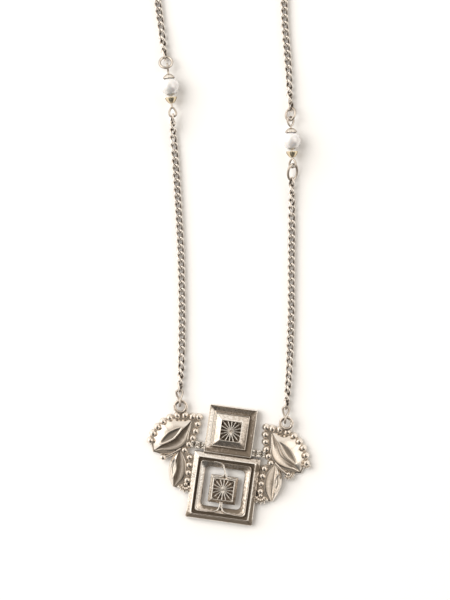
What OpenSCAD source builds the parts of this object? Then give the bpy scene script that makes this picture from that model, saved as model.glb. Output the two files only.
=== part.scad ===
// Crystal necklace, lying on its back with its chain laid out in one open loop.
// A cast pendant of two square frames between two leaf wings holds four small cut crystals.
// A curb chain runs from each wing over one drilled pearl to a plain barrel clasp.
// X points right, Y from the pendant to the clasp, Z up from the surface. All sizes are millimetres.

/* [Frames] */
// Half the width of the lower square frame
lower_half = 9.2; // [8.9:0.1:9.5]
// Half the width of the upper square frame
upper_half = 6.6; // [6.3:0.1:6.9]
// Height of the lower frame's crest above the surface
crest_z = 2.7; // [2.5:0.1:3]
// Height of the plaque's underside inside the open lower frame
plaque_foot = 0.9; // [0.7:0.1:1.1]
// Number of rays in each starburst
rays = 16; // [8:8:24]

/* [Wings] */
// Thickness of the plate under leaves and beads
plate_z = 0.9; // [0.7:0.1:1.1]
// Radius of a border bead
bead_r = 0.95; // [0.85:0.05:1]
// Height of a bead's centre above the surface
bead_z = 1.05; // [0.95:0.05:1.15]
// Outer diameter of the round loop on each wing
loop_od = 4.1; // [4:0.1:4.4]
// Wire thickness of the round loop
loop_wire = 0.95; // [0.8:0.05:1]

/* [Crystals] */
// Diameter of a cut crystal
stone_d = 1.36; // [1.2:0.02:1.4]
// Diameter of the hole in a crystal's setting
seat_d = 1.52; // [1.5:0.02:1.6]
// Outer diameter of a crystal's setting
setting_d = 1.9; // [1.85:0.05:2]

/* [Pearls] */
// Diameter of a pearl
pearl_d = 5; // [4.8:0.1:5.2]
// Diameter of the hole drilled through a pearl
drill_d = 0.9; // [0.8:0.05:1]
// Wire thickness of the pin through a pearl
pin_wire = 0.56; // [0.5:0.02:0.6]
// Diameter of a bead cap's rim
cap_d = 3.3; // [3:0.1:3.5]
// Gap between the rim of an upper cap and its pearl
cap_gap = 0.22; // [0.16:0.02:0.3]

/* [Chain] */
// Width of the curb chain
chain_w = 1.7; // [1.5:0.1:1.8]
// Thickness of the curb chain
chain_t = 1.1; // [1:0.05:1.2]
// Wire thickness of the jump rings beside the pearls
ring_wire = 0.7; // [0.6:0.05:0.75]
// Wire thickness of the long links that hang in the wing loops
link_wire = 0.6; // [0.5:0.05:0.65]

/* [Clasp] */
// Diameter of the barrel
barrel_d = 2.4; // [2:0.1:3]
// Length of the barrel without its eyes
barrel_l = 6; // [5:0.5:7]

/* [Hidden] */
$fn = 48;

// The pendant's own origin lies between its frames, and it lies turned a little clockwise.
pendant_x = -0.3;
pendant_y = -88.6;
pendant_turn = -8;
lower_at = [0, -6.05];
upper_at = [-0.1, 9.75];

// Mouldings of the square frames, from the outer edge inwards: inset from the edge, height.
lower_moulding = [
    [0, 1.1], [1.1, crest_z - 0.15], [1.35, crest_z], [1.55, crest_z - 0.1],
    [1.7, 1.75], [2.1, 1.65], [2.25, 2.2], [2.45, 2.25],
    [2.8, 1.95], [3.3, 1.15], [3.4, 0.8], [3.4, 0]
];
upper_moulding = [
    [0, 1.95], [0.15, 2.1], [0.4, 2.1], [0.55, 1.6], [0.9, 1.25], [1.35, 1.1],
    [1.8, 1.3], [2.1, 1.7], [2.25, 1.75], [2.4, 1.65],
    [3.7, 2.55], [3.95, 2.55], [4, 2.1]
];
plaque_half = 3.8;
plaque_at = lower_at + [0.05, -0.4];
plaque_moulding = [[0, plaque_foot + 0.35], [0.85, 2.3], [1.1, 2.3], [1.15, 1.85]];
// Starbursts in the plaque and in the upper frame: foot, hub, ridges and valleys by height.
burst_half = 2.75;
plaque_burst = [1.3, 2.15, 2.2, 1.75];
upper_burst = [1.5, 2.4, 2.45, 2];
ridge_turn = 4.2;

// Ribs that hold the plaque inside the open lower frame, as paths in the pendant's plane.
rib_paths = [
    [[-0.6, 0.75], [-0.3, -0.7], [0, -1.8], [0.4, -2.65], [1, -3.15], [2, -3.3], [3.1, -3.3]],
    [[-3.1, -3.3], [-2, -3.3], [-1.1, -3.15], [-0.5, -2.8], [-0.15, -2.4]],
    [[-0.15, -9.8], [-0.2, -11], [-0.45, -11.9], [-1, -12.55], [-1.9, -12.85], [-3.2, -12.9]],
    [[0.1, -9.8], [0.25, -11], [0.6, -11.9], [1.2, -12.55], [2.1, -12.85], [3.4, -12.9]]
];
rib_w = 0.55;
rib_foot = 1.1;
rib_top = 2.3;

// Rows of border beads on the left wing: first bead, last bead, bulge of the row, number of beads.
outer_row = [[-21.5, 4.3], [-10.9, 12.3], 2.85, 8];
inner_row = [[-9.2, 12.4], [-11.9, 2.9], 0.75, 6];
lower_row = [[-10.3, 1.1], [-10.1, -5.2], 0.15, 4];
row_end_at = [-10.5, -7.2];
row_end_r = 1.1;
row_end_turn = 260;
// A stem between the leaves ends in a ball, and a curl lies beside it.
stem_w = 0.9;
stem_top = 1.5;
ball_at = [-17.5, 0.2];
ball_r = 0.95;
ball_turn = 200;
stem_path = [[-12.9, 3.1], [-14.5, 1.9], [-16, 0.9], ball_at];
curl_at = [-15.2, 2.9, 1];
curl_r = 0.75;
// Outlines of the plate: tail under the large leaf, side by the lower row, patch under the small leaf.
plate_rim = 0.1;
plate_tail = [[-13.5, 2.1], [-15.6, 1.3], [-18.2, 0.9], [-20.5, 1.3], [-21.2, 3]];
plate_side = [[-9, -5.6], [-9, 1.6], [-12, 3]];
plate_leaf = [
    [-12, 3.2], [-10.3, 1.3], [-10.1, -5.2], [-10.5, -7.2], [-13, -7.7], [-13.9, -7.4],
    [-14.9, -5.6], [-15.5, -3.2], [-15.3, -1], [-14.5, 1], [-13.6, 3]
];

// Leaves of the left wing, from stalk to tip: x and y on the midrib, reach above it,
// reach below it, height of the midrib.
big_leaf = [
    [-11.2, 11.1, 0.4, 0.3, 1.3], [-12.5, 9.4, 2.4, 1.3, 2.2], [-13.7, 7.9, 4.1, 2.3, 2.6],
    [-14.9, 5.9, 5.1, 2.6, 2.7], [-16.6, 4.6, 4.6, 2.2, 2.6], [-18.4, 3.5, 3.1, 1.4, 2.2],
    [-20, 1.9, 0.4, 0.3, 1.2]
];
small_leaf = [
    [-13.3, 2.8, 0.3, 0.3, 1.2], [-13.8, 0.8, 0.9, 1.3, 2], [-14, -1.4, 1.4, 2.2, 2.3],
    [-14, -3.6, 1.3, 2.4, 2.3], [-13.9, -5.6, 0.8, 1.8, 1.9], [-13.6, -7.4, 0.2, 0.3, 1.2]
];
// Where a leaf's section has its points: place across the leaf, share of the midrib's height.
leaf_section = [
    [1, 0], [0.75, 0.4], [0.45, 0.72], [0.15, 0.94], [0, 1],
    [-0.1, 0.8], [-0.25, 0.35], [-0.5, 0.12], [-0.8, 0.1], [-1, 0.2]
];
leaf_foot = 0.5;
leaf_edge = 1.05;
leaf_step = 1.1;
// Pointed cells on the leaves: middle, length, width, turn, height of the rim.
big_cell = [-16.15, 6.4, 7.2, 2.4, 44, 2.95];
small_cell = [-14.3, -2.4, 5.5, 1.75, 91, 2.6];
cell_foot = 1.2;
cell_taper = 1.6;
cell_fullness = 0.55;
// Section of a cell from its wall to its floor: inset from the outline, height over the rim.
cell_section = [[0.04, -0.25], [0.14, 0], [0.3, -0.08], [0.45, -0.35]];

// The right wing is the left one mirrored, set a touch lower and further out.
wing_tilt = [0.5, -0.3];
wing_shift = [0.15, -0.3, 0];

// Loops on the wings: place and height of the ring's middle.
loop_at = [[-14.65, 14.45, 1.4], [14.7, 14, 1.9]];
// Settings between frames and wings, left pair and right pair.
setting_at = [[-9.45, 4.8], [-7.7, 4.75], [7.5, 4.65], [9.2, 4.7]];
setting_z = 1.75;
seat_z = 1;
stone_z = 1.66;
bridge = [[-11.2, 4.15, 4.9, 1.3], [6.3, 4, 4.6, 1.3]];
bridge_z = 0.9;

// Pearls: place on the surface and turn of the pin. The upper eye is nearer the clasp.
pearl_at = [[-15.7, 15.35], [17.6, 0.55]];
pearl_turn = [6.2, 2.7];
pearl_z = pearl_d / 2;
// Eyes of the two pins: distance of the eye's middle from the pearl, width, length, turn about the pin.
left_upper_eye = [5.35, 2.3, 2.5, 90];
left_lower_eye = [-7, 2.4, 3.1, 0];
right_upper_eye = [5.3, 2.5, 3.1, 32];
right_lower_eye = [-6.1, 2.5, 2.9, -32];
eye_slim = 0.3;
// Caps: thickness, depth of the upper and lower ones, and how far the lower ones have slid away.
cap_wall = 0.28;
upper_cap_depth = 1.2;
lower_cap_depth = 1.65;
lower_cap_slip = 0.6;

// Jump rings: middle, outer width, outer length, turn, tip about its width, roll about its length.
ring_left_up = [-16.8, 22.1, 1.6, 4.1, 4.1, 8, -31, 0];
ring_right_up = [17.35, 7.9, 1.8, 3.7, 4.3, 3, -28, -36];
ring_right_low = [17.9, -8, 1.75, 3.9, 5.2, -2, 23, 38];

// Long links: middle, outer length, turn, height at the wing loop and at the chain.
link_left_at = [-13.05, -69.85, 5, 2, 1.4, 0.95];
link_right_at = [16, -74.45, 5, -5, 1.9, 0.95];
link_half_w = 0.96;
// Turn of a long link's plane at the wing loop and at the chain, and where the turn begins.
link_turn = [88, 15];
link_start = 0.3;

// Chain routes along the middle of the chain, laid from the front to the clasp.
rest_z = chain_t / 2;
ring_step = 4.4;
route_left_front = [
    [-12.95, -67.1, 0.95], [-12.7, -62.4, 0.6], [-12.5, -53.4, rest_z], [-12.5, -42.4, rest_z],
    [-12.8, -29.4, rest_z], [-13.5, -16.4, rest_z], [-14.4, -2.4, rest_z],
    [-14.8, 2.2, 0.75], [-14.9, 6.6, 2.1]
];
route_right_front = [
    [16.3, -71.7, 0.95], [16.6, -67.4, 0.6], [17.1, -59.4, rest_z], [17.5, -47.4, rest_z],
    [17.6, -34.4, rest_z], [17.7, -23.4, rest_z], [17.75, -14.9, 0.6], [17.7, -10.75, 0.95]
];
route_left_back = [
    [-17.1, 24.1, 0.95], [-17.7, 28.1, 0.6], [-18.4, 33.6, rest_z], [-19.8, 44.6, rest_z],
    [-21.3, 57.6, rest_z], [-21.85, 70.6, rest_z], [-19.7, 83.6, rest_z], [-14.1, 95.1, rest_z],
    [-9.4, 100.8, 0.7], [-7, 102.8, 1.15]
];
route_right_back = [
    [17.25, 10.15, 0.95], [17.1, 14.1, 0.6], [16.7, 21.6, rest_z], [15.8, 33.6, rest_z],
    [15.7, 45.6, rest_z], [16.8, 58.6, rest_z], [17.6, 71.6, rest_z], [15.6, 84.6, rest_z],
    [9.4, 95.8, rest_z], [4.5, 101, 0.7], [2.2, 102.9, 1.15]
];

clasp_at = [-2.4, 103.8, barrel_d / 2];
clasp_eye_wire = 0.56;
clasp_eye_r = 0.8;

metal = [0.74, 0.7, 0.64];
warm_metal = [0.76, 0.66, 0.48];
pearl_white = [0.96, 0.95, 0.92];
crystal_clear = [0.85, 0.9, 0.95];

function unit(v) = v / norm(v);
function flat(lists) = [for (l = lists) for (v = l) v];
function mix(a, b, t) = a + (b - a) * t;
function square_loop(half, z) = [[-half, -half, z], [half, -half, z], [half, half, z], [-half, half, z]];

// Faces between one closed row of points and the next, as triangles.
function side_faces(rows, n, wrap) = [
    for (i = [0 : rows - (wrap ? 1 : 2)], k = [0 : n - 1])
        let (a = i * n + k, b = i * n + (k + 1) % n,
             c = ((i + 1) % rows) * n + (k + 1) % n, d = ((i + 1) % rows) * n + k)
            each [[a, b, c], [a, c, d]]
];

// A smooth curve through the points, with a ring about every step millimetres.
function spline_point(a, b, c, d, t) =
    0.5 * (2 * b + (c - a) * t + (2 * a - 5 * b + 4 * c - d) * t * t
           + (3 * b - a - 3 * c + d) * t * t * t);
function spline(p, step) = [
    for (i = [0 : len(p) - 2])
        let (a = p[max(i - 1, 0)], b = p[i], c = p[i + 1], d = p[min(i + 2, len(p) - 1)],
             n = max(1, round(norm([c[0] - b[0], c[1] - b[1]]) / step)))
            for (k = [0 : n - 1]) spline_point(a, b, c, d, k / n),
    p[len(p) - 1]
];
function tangent(p, i) = unit(p[min(i + 1, len(p) - 1)] - p[max(i - 1, 0)]);

// Points on a shallow arc from a to b that stands bulge high over its chord.
function arc_row(a, b, bulge, n) =
    let (chord = b - a, c = norm(chord), u = chord / c, v = [-u[1], u[0]],
         r = (c * c / 4 + bulge * bulge) / (2 * bulge), h = asin(c / 2 / abs(r)),
         middle = (a + b) / 2 - v * (r - bulge))
        [for (i = [0 : n - 1]) let (q = -h + 2 * h * i / (n - 1))
            middle + u * abs(r) * sin(q) + v * r * cos(q)];

// A solid skinned over closed rows of points, with flat ends.
module skin(rows) {
    n = len(rows[0]);
    last = (len(rows) - 1) * n;
    polyhedron(
        points = flat(rows),
        faces = concat(
            side_faces(len(rows), n, false),
            [[for (k = [n - 1 : -1 : 0]) k]],
            [[for (k = [0 : n - 1]) last + k]]
        ),
        convexity = 6
    );
}

// An open square frame: each row of the profile is an inset and a height, back down to the foot.
module open_frame(half, profile) {
    rows = concat([square_loop(half, 0)], [for (s = profile) square_loop(half - s[0], s[1])]);
    n = len(rows);
    polyhedron(
        points = flat(rows),
        faces = [for (i = [0 : n - 1], k = [0 : 3])
            let (a = 4 * i, b = 4 * ((i + 1) % n), m = (k + 1) % 4) [a + k, b + k, b + m, a + m]],
        convexity = 8
    );
}

// A closed square moulding: each row of the profile is an inset and a height.
module moulding(half, foot, profile) {
    rows = concat([square_loop(half, foot)], [for (s = profile) square_loop(half - s[0], s[1])]);
    n = len(rows);
    polyhedron(
        points = flat(rows),
        faces = concat(
            [for (i = [0 : n - 2], k = [0 : 3])
                [i * 4 + k, i * 4 + 4 + k, i * 4 + 4 + (k + 1) % 4, i * 4 + (k + 1) % 4]],
            [[0, 1, 2, 3]],
            [[n * 4 - 1, n * 4 - 2, n * 4 - 3, n * 4 - 4]]
        ),
        convexity = 8
    );
}

// Rays from a hub to the edge of a square, ridges with flat valleys between them.
module starburst(half, level) {
    foot = level[0];
    hub = level[1];
    ridge = level[2];
    valley = level[3];
    step = 360 / rays;
    rim = flat([for (i = [0 : rays - 1]) [
        [i * step - ridge_turn, valley], [i * step, ridge], [i * step + ridge_turn, valley]
    ]]);
    n = len(rim);
    function edge(a, z) = let (m = half / max(abs(cos(a)), abs(sin(a)))) [m * cos(a), m * sin(a), z];
    polyhedron(
        points = concat([for (s = rim) edge(s[0], s[1])], [for (s = rim) edge(s[0], foot)],
                        [[0, 0, hub], [0, 0, foot]]),
        faces = [for (k = [0 : n - 1]) let (m = (k + 1) % n) each [
            [2 * n, m, k], [k, m, n + m], [k, n + m, n + k], [2 * n + 1, n + k, n + m]
        ]],
        convexity = 8
    );
}

// An upright rib along a path, with chamfered top edges.
module rib(path, width, foot, top) {
    crest = 0.4;
    rows = [for (i = [0 : len(path) - 1])
        let (t = tangent(path, i), s = [t[1], -t[0]], p = path[i], h = width / 2) [
            [p[0] + s[0] * h, p[1] + s[1] * h, foot],
            [p[0] + s[0] * h, p[1] + s[1] * h, top - h],
            [p[0] + s[0] * h * crest, p[1] + s[1] * h * crest, top],
            [p[0] - s[0] * h * crest, p[1] - s[1] * h * crest, top],
            [p[0] - s[0] * h, p[1] - s[1] * h, top - h],
            [p[0] - s[0] * h, p[1] - s[1] * h, foot]
        ]];
    skin(rows);
}

// A leaf in relief: a midrib with a swelling upper half and a hollow lower half.
module leaf(table) {
    mid = spline(table, leaf_step);
    rows = [for (i = [0 : len(mid) - 1])
        let (p = mid[i], a = mid[max(i - 1, 0)], b = mid[min(i + 1, len(mid) - 1)],
             t = unit([b[0] - a[0], b[1] - a[1]]), s = [t[1], -t[0]],
             up = p[2], down = p[3], top = p[4])
            concat(
                [for (q = leaf_section) let (r = q[0] > 0 ? q[0] * up : q[0] * down)
                    [p[0] + s[0] * r, p[1] + s[1] * r, leaf_edge + (top - leaf_edge) * q[1]]],
                [[p[0] - s[0] * down, p[1] - s[1] * down, leaf_foot],
                 [p[0] + s[0] * up, p[1] + s[1] * up, leaf_foot]]
            )];
    skin(rows);
}

// Half the width of a pointed cell, at a share of its half length.
function cell_half(share) = sqrt((1 - share * share) * (1 - cell_fullness * abs(share)));

// A pointed cell with a raised rim and a dished floor.
module cell(c) {
    n = 10;
    function lens(inset, z) = [
        for (way = [1, -1], i = [0 : n - 1])
            let (share = way * cos(180 * i / n))
                [(c[2] / 2 - cell_taper * inset) * share, -way * (c[3] / 2 - inset) * cell_half(share), z]
    ];
    translate([c[0], c[1], 0]) rotate([0, 0, c[4]])
        skin(concat([lens(0, cell_foot)], [for (e = cell_section) lens(e[0], c[5] + e[1])]));
}

// A large bead with small beads round its far side.
module scalloped_end(r, turn) {
    lift = 0.05;
    small_r = 0.42 * r;
    spread = 1.1 * r;
    small_z = 0.6 * r;
    step = 40;
    translate([0, 0, r + lift]) sphere(r = r);
    for (k = [-2 : 2]) rotate([0, 0, turn + step * k]) translate([spread, 0, small_z]) sphere(r = small_r);
}

module bead_row(row) {
    for (p = arc_row(row[0], row[1], row[2], row[3])) translate([p[0], p[1], bead_z]) sphere(r = bead_r);
}

module wing_plate() {
    outer = arc_row(outer_row[0], outer_row[1], outer_row[2], outer_row[3]);
    inner = arc_row(inner_row[0], inner_row[1], inner_row[2], inner_row[3]);
    lower = arc_row(lower_row[0], lower_row[1], lower_row[2], lower_row[3]);
    linear_extrude(plate_z) {
        polygon(concat(outer, inner, plate_tail));
        polygon(concat(lower, plate_side));
        polygon(plate_leaf);
        for (p = concat(outer, inner, lower, [row_end_at])) translate(p) circle(r = bead_r + plate_rim);
    }
}

module wing() {
    wing_plate();
    bead_row(outer_row);
    bead_row(inner_row);
    bead_row(lower_row);
    leaf(big_leaf);
    leaf(small_leaf);
    cell(big_cell);
    cell(small_cell);
    rib(stem_path, stem_w, 0, stem_top);
    translate(ball_at) scalloped_end(ball_r, ball_turn);
    translate(curl_at) sphere(r = curl_r);
    translate(row_end_at) scalloped_end(row_end_r, row_end_turn);
}

module pendant() {
    color(metal) translate([pendant_x, pendant_y, 0]) rotate([0, 0, pendant_turn]) {
        difference() {
            union() {
                translate([lower_at[0], lower_at[1], 0]) open_frame(lower_half, lower_moulding);
                translate([upper_at[0], upper_at[1], 0]) moulding(upper_half, 0, upper_moulding);
                for (b = bridge) translate([b[0], b[1], 0]) cube([b[2], b[3], bridge_z]);
                rotate([0, 0, wing_tilt[0]]) wing();
                translate(wing_shift) rotate([0, 0, wing_tilt[1]]) mirror([1, 0, 0]) wing();
                for (at = setting_at) translate([at[0], at[1], 0]) cylinder(d = setting_d, h = setting_z);
            }
            for (at = setting_at) translate([at[0], at[1], seat_z]) cylinder(d = seat_d, h = setting_z);
        }
        translate([plaque_at[0], plaque_at[1], 0]) {
            moulding(plaque_half, plaque_foot, plaque_moulding);
            starburst(burst_half, plaque_burst);
        }
        translate([upper_at[0], upper_at[1], 0]) starburst(burst_half, upper_burst);
        for (path = rib_paths) rib(path, rib_w, rib_foot, rib_top);
        for (at = loop_at) translate(at) torus(loop_od - loop_wire, loop_wire);
    }
}

// A round ring, given the diameter of its middle line and its wire.
module torus(mid_d, wire) {
    rotate_extrude() translate([mid_d / 2, 0]) circle(d = wire);
}

// Round wire bent along a closed path.
module wire_loop(path, wire, sides) {
    n = len(path);
    centre = [for (k = [0 : 2]) let (all = [for (p = path) p[k]]) (max(all) + min(all)) / 2];
    rows = [for (i = [0 : n - 1])
        let (t = unit(path[(i + 1) % n] - path[(i + n - 1) % n]), out = path[i] - centre,
             u = unit(out - (out * t) * t), v = cross(u, t))
            [for (k = [0 : sides - 1]) let (a = 360 * k / sides)
                path[i] + (u * cos(a) + v * sin(a)) * wire / 2]];
    polyhedron(points = flat(rows), faces = side_faces(n, sides, true), convexity = 6);
}

// Egg-shaped path, slimmer on its near side, round its own middle.
function egg(w, l) = [
    for (i = [0 : 19]) let (a = 18 * i) [w / 2 * sin(a) * (1 - eye_slim * cos(a)), l / 2 * cos(a), 0]
];

// A long link whose plane turns from upright at the wing loop to nearly flat at the chain.
module long_link(l) {
    half = l[2] / 2 - link_wire / 2;
    path = [for (i = [0 : 19])
        let (a = 18 * i, y = half * cos(a), share = max(0, min(1, link_start + y / half)),
             turn = mix(link_turn[0], link_turn[1], share))
            [link_half_w * sin(a) * cos(turn), y,
             mix(l[4], l[5], share) + link_half_w * sin(a) * sin(turn)]];
    color(metal) translate([l[0], l[1], 0]) rotate([0, 0, l[3]]) wire_loop(path, link_wire, 6);
}

module jump_ring(r) {
    path = [for (i = [0 : 23]) let (a = 15 * i)
        [(r[3] - ring_wire) / 2 * sin(a), (r[4] - ring_wire) / 2 * cos(a), 0]];
    color(metal) translate([r[0], r[1], r[2]]) rotate([0, 0, r[5]]) rotate([r[6], 0, 0])
        rotate([0, r[7], 0]) wire_loop(path, ring_wire, 8);
}

// Sweep of the chain's outer form along its route, one flat-sided ring every few millimetres.
module chain_tube(route) {
    mid = spline(route, ring_step);
    grow = 1 / cos(22.5);
    rows = [for (i = [0 : len(mid) - 1])
        let (t = tangent(mid, i), s = unit([t[1], -t[0], 0]), u = cross(s, t))
            [for (k = [0 : 7]) let (a = 22.5 + 45 * k)
                mid[i] + s * (chain_w / 2 * grow * cos(a)) + u * (chain_t / 2 * grow * sin(a))]];
    color(metal) skin(rows);
}

module at_pearl(side) {
    translate([pearl_at[side][0], pearl_at[side][1], pearl_z]) rotate([0, 0, pearl_turn[side]]) children();
}

module pearl(side) {
    color(pearl_white) at_pearl(side) rotate([90, 0, 0]) difference() {
        sphere(d = pearl_d);
        cylinder(d = drill_d, h = 2 * pearl_d, center = true);
    }
}

module pin_eye(e) {
    way = e[0] > 0 ? 0 : 180;
    translate([0, e[0], 0]) rotate([0, e[3], 0]) rotate([0, 0, 180 + way])
        wire_loop(egg(e[1] - pin_wire, e[2] - pin_wire), pin_wire, 8);
}

module pin(side, upper, lower) {
    top = upper[0] - upper[2] / 2 + pin_wire / 2;
    bottom = lower[0] + lower[2] / 2 - pin_wire / 2;
    color(metal) at_pearl(side) {
        translate([0, top, 0]) rotate([90, 0, 0]) cylinder(d = pin_wire, h = top - bottom);
        pin_eye(upper);
        pin_eye(lower);
    }
}

// A thin saucer turned about the pin, its hollow side towards the pearl.
module cap_dish(depth) {
    hole = drill_d / 2;
    rim = cap_d / 2;
    crown = depth - cap_wall;
    rotate_extrude() polygon([
        [hole, crown], [hole, depth], [0.45 * rim, 0.96 * depth], [0.85 * rim, 0.45 * depth],
        [rim, 0], [rim - cap_wall, 0], [0.72 * rim, 0.36 * depth], [0.4 * rim, 0.92 * crown]
    ]);
}

// A cap beside a pearl, on the clasp's side when way is 1 and on the pendant's when it is -1.
module cap(side, way, depth, gap, tint) {
    rim = cap_d / 2 - cap_wall;
    seat = sqrt(pow(pearl_d / 2, 2) - pow(rim, 2)) + gap;
    color(tint) at_pearl(side) translate([0, way * seat, 0]) rotate([-90 * way, 0, 0]) cap_dish(depth);
}

module upper_cap(side) {
    cap(side, 1, upper_cap_depth, cap_gap, metal);
}

module lower_cap(side) {
    cap(side, -1, lower_cap_depth, cap_gap + lower_cap_slip, warm_metal);
}

// A cut stone: flat table, crown of 24 facets, thin girdle and a pointed pavilion.
module crystal(k) {
    r = stone_d / 2;
    table_r = 0.58 * r;
    table_z = 0.24;
    girdle = 0.06;
    culet_z = -0.52;
    points = concat(
        [for (i = [0 : 7]) let (a = 45 * i) [table_r * cos(a), table_r * sin(a), table_z]],
        [for (i = [0 : 15]) let (a = 22.5 * i) [r * cos(a), r * sin(a), 0]],
        [for (i = [0 : 15]) let (a = 22.5 * i) [r * cos(a), r * sin(a), -girdle]],
        [[0, 0, culet_z]]
    );
    faces = concat(
        [[for (i = [7 : -1 : 0]) i]],
        [for (i = [0 : 7])
            let (u = (i + 1) % 8, a = 8 + 2 * i, b = 9 + 2 * i, c = 8 + (2 * i + 2) % 16)
                each [[i, u, b], [i, b, a], [u, c, b]]],
        [for (i = [0 : 15]) let (a = 8 + i, b = 8 + (i + 1) % 16)
            each [[a, b, b + 16], [a, b + 16, a + 16], [40, a + 16, b + 16]]]
    );
    color(crystal_clear) translate([pendant_x, pendant_y, 0]) rotate([0, 0, pendant_turn])
        translate([setting_at[k][0], setting_at[k][1], stone_z]) polyhedron(points, faces, convexity = 2);
}

module clasp() {
    reach = barrel_l / 2 + clasp_eye_r;
    color(metal) translate(clasp_at) {
        rotate([0, 90, 0]) cylinder(d = barrel_d, h = barrel_l, center = true);
        for (way = [-1, 1]) translate([way * reach, 0, 0]) torus(2 * clasp_eye_r, clasp_eye_wire);
    }
}

pendant();
crystal(0);  // crystal_1
crystal(1);  // crystal_2
crystal(2);  // crystal_3
crystal(3);  // crystal_4
long_link(link_left_at);  // link_left
long_link(link_right_at);  // link_right
chain_tube(route_left_front);  // chain_left_front
chain_tube(route_right_front);  // chain_right_front
chain_tube(route_left_back);  // chain_left_back
chain_tube(route_right_back);  // chain_right_back
pearl(0);  // pearl_left
pearl(1);  // pearl_right
pin(0, left_upper_eye, left_lower_eye);  // pin_left
pin(1, right_upper_eye, right_lower_eye);  // pin_right
upper_cap(0);  // cap_left_upper
lower_cap(0);  // cap_left_lower
upper_cap(1);  // cap_right_upper
lower_cap(1);  // cap_right_lower
jump_ring(ring_left_up);  // ring_left_upper
jump_ring(ring_right_up);  // ring_right_upper
jump_ring(ring_right_low);  // ring_right_lower
clasp();
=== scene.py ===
# %% [markdown]
# # A crystal necklace, one surface at a time
# The necklace lies open on pale paper: a cast pendant of two square frames between two leaf
# wings, four small crystals, two pearls on wire pins, and a curb chain that closes in one loop.
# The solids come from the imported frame. Here each one gets the shape and the finish that the
# eye expects, worked out as grids of points.

import bpy
import numpy as np
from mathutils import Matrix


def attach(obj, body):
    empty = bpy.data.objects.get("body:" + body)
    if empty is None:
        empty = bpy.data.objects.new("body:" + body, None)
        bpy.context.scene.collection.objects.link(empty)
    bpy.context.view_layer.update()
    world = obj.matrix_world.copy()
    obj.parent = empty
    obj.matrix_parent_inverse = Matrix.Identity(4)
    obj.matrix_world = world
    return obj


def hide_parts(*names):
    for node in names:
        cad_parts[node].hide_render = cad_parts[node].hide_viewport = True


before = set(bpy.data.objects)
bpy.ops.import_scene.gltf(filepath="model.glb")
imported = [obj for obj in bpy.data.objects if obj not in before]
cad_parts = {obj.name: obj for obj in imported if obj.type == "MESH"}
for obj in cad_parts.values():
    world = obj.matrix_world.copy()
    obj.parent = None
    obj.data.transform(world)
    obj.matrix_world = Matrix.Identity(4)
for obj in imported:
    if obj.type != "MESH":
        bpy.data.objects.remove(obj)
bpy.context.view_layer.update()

MM = 0.001


# %% [markdown]
# ## Points, grids and joined shapes
# A shape is an array of points in millimetres and a list of face arrays. Most shapes here are a
# grid: rows follow one direction of the surface, columns the other. Closing the columns makes a
# tube, closing both makes a ring, and a fan of triangles round one middle point closes an end.

# %% Grids
def grid(points, ring_rows=False, ring_cols=False, ends=False):
    """A surface from points[row, column]: one quad between each four neighbours. With ends, the
    first and the last row are closed by triangles round their own mean."""
    rows, cols = points.shape[:2]
    row = np.arange(rows if ring_rows else rows - 1)[:, None]
    col = np.arange(cols if ring_cols else cols - 1)[None, :]
    next_row, next_col = (row + 1) % rows, (col + 1) % cols
    corners = [row * cols + col, row * cols + next_col, next_row * cols + next_col, next_row * cols + col]
    faces = [np.stack(corners, -1).reshape(-1, 4)]
    flat = points.reshape(-1, 3)
    if ends:
        here = np.arange(cols)
        after, middle, last = (here + 1) % cols, len(flat), (rows - 1) * cols
        faces.append(np.stack([np.full(cols, middle), after, here], -1))
        faces.append(np.stack([np.full(cols, middle + 1), last + here, last + after], -1))
        flat = np.concatenate([flat, points[0].mean(0)[None], points[-1].mean(0)[None]])
    return flat, faces


print("a grid of 3 by 4 points has", len(grid(np.zeros((3, 4, 3)))[1][0]), "quads")

# %% Shapes joined, repeated and turned
def joined(*shapes):
    """Several shapes as one: their points in a row, their faces counted on from there."""
    starts = np.cumsum([0] + [len(shape[0]) for shape in shapes])
    return (np.concatenate([shape[0] for shape in shapes]),
            [block + start for shape, start in zip(shapes, starts) for block in shape[1]])


def inside_out(shape):
    """The same shape with its faces turned round."""
    return shape[0], [block[:, ::-1] for block in shape[1]]


def repeated(shape, places, sizes=None):
    """Copies of a small shape, one at each place, each scaled by its size."""
    count, many = len(places), len(shape[0])
    sizes = np.ones(count) if sizes is None else np.asarray(sizes)
    points = shape[0][None] * sizes[:, None, None] + np.asarray(places)[:, None]
    lifts = (np.arange(count) * many)[:, None, None]
    return points.reshape(-1, 3), [(block[None] + lifts).reshape(-1, block.shape[1]) for block in shape[1]]


def turned(points, x=0.0, y=0.0, z=0.0):
    """Points turned about X, then Y, then Z, in degrees."""
    a, b, c = np.radians([x, y, z])
    rx = np.array([[1, 0, 0], [0, np.cos(a), -np.sin(a)], [0, np.sin(a), np.cos(a)]])
    ry = np.array([[np.cos(b), 0, np.sin(b)], [0, 1, 0], [-np.sin(b), 0, np.cos(b)]])
    rz = np.array([[np.cos(c), -np.sin(c), 0], [np.sin(c), np.cos(c), 0], [0, 0, 1]])
    return points @ (rz @ ry @ rx).T


def unit(vectors):
    """Vectors of length one in the same directions."""
    return vectors / np.linalg.norm(vectors, axis=-1, keepdims=True)


print("X turned a quarter about Z:", turned(np.array([1.0, 0, 0]), z=90).round(3).tolist())

# %% [markdown]
# ## Curves
# Wires, ribs and chain all follow a curve. A Catmull-Rom spline passes through every point that
# is given, which suits places measured on the real piece. Corner cutting (Chaikin) rounds a drawn
# profile the way casting and wear round its edges.

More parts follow.
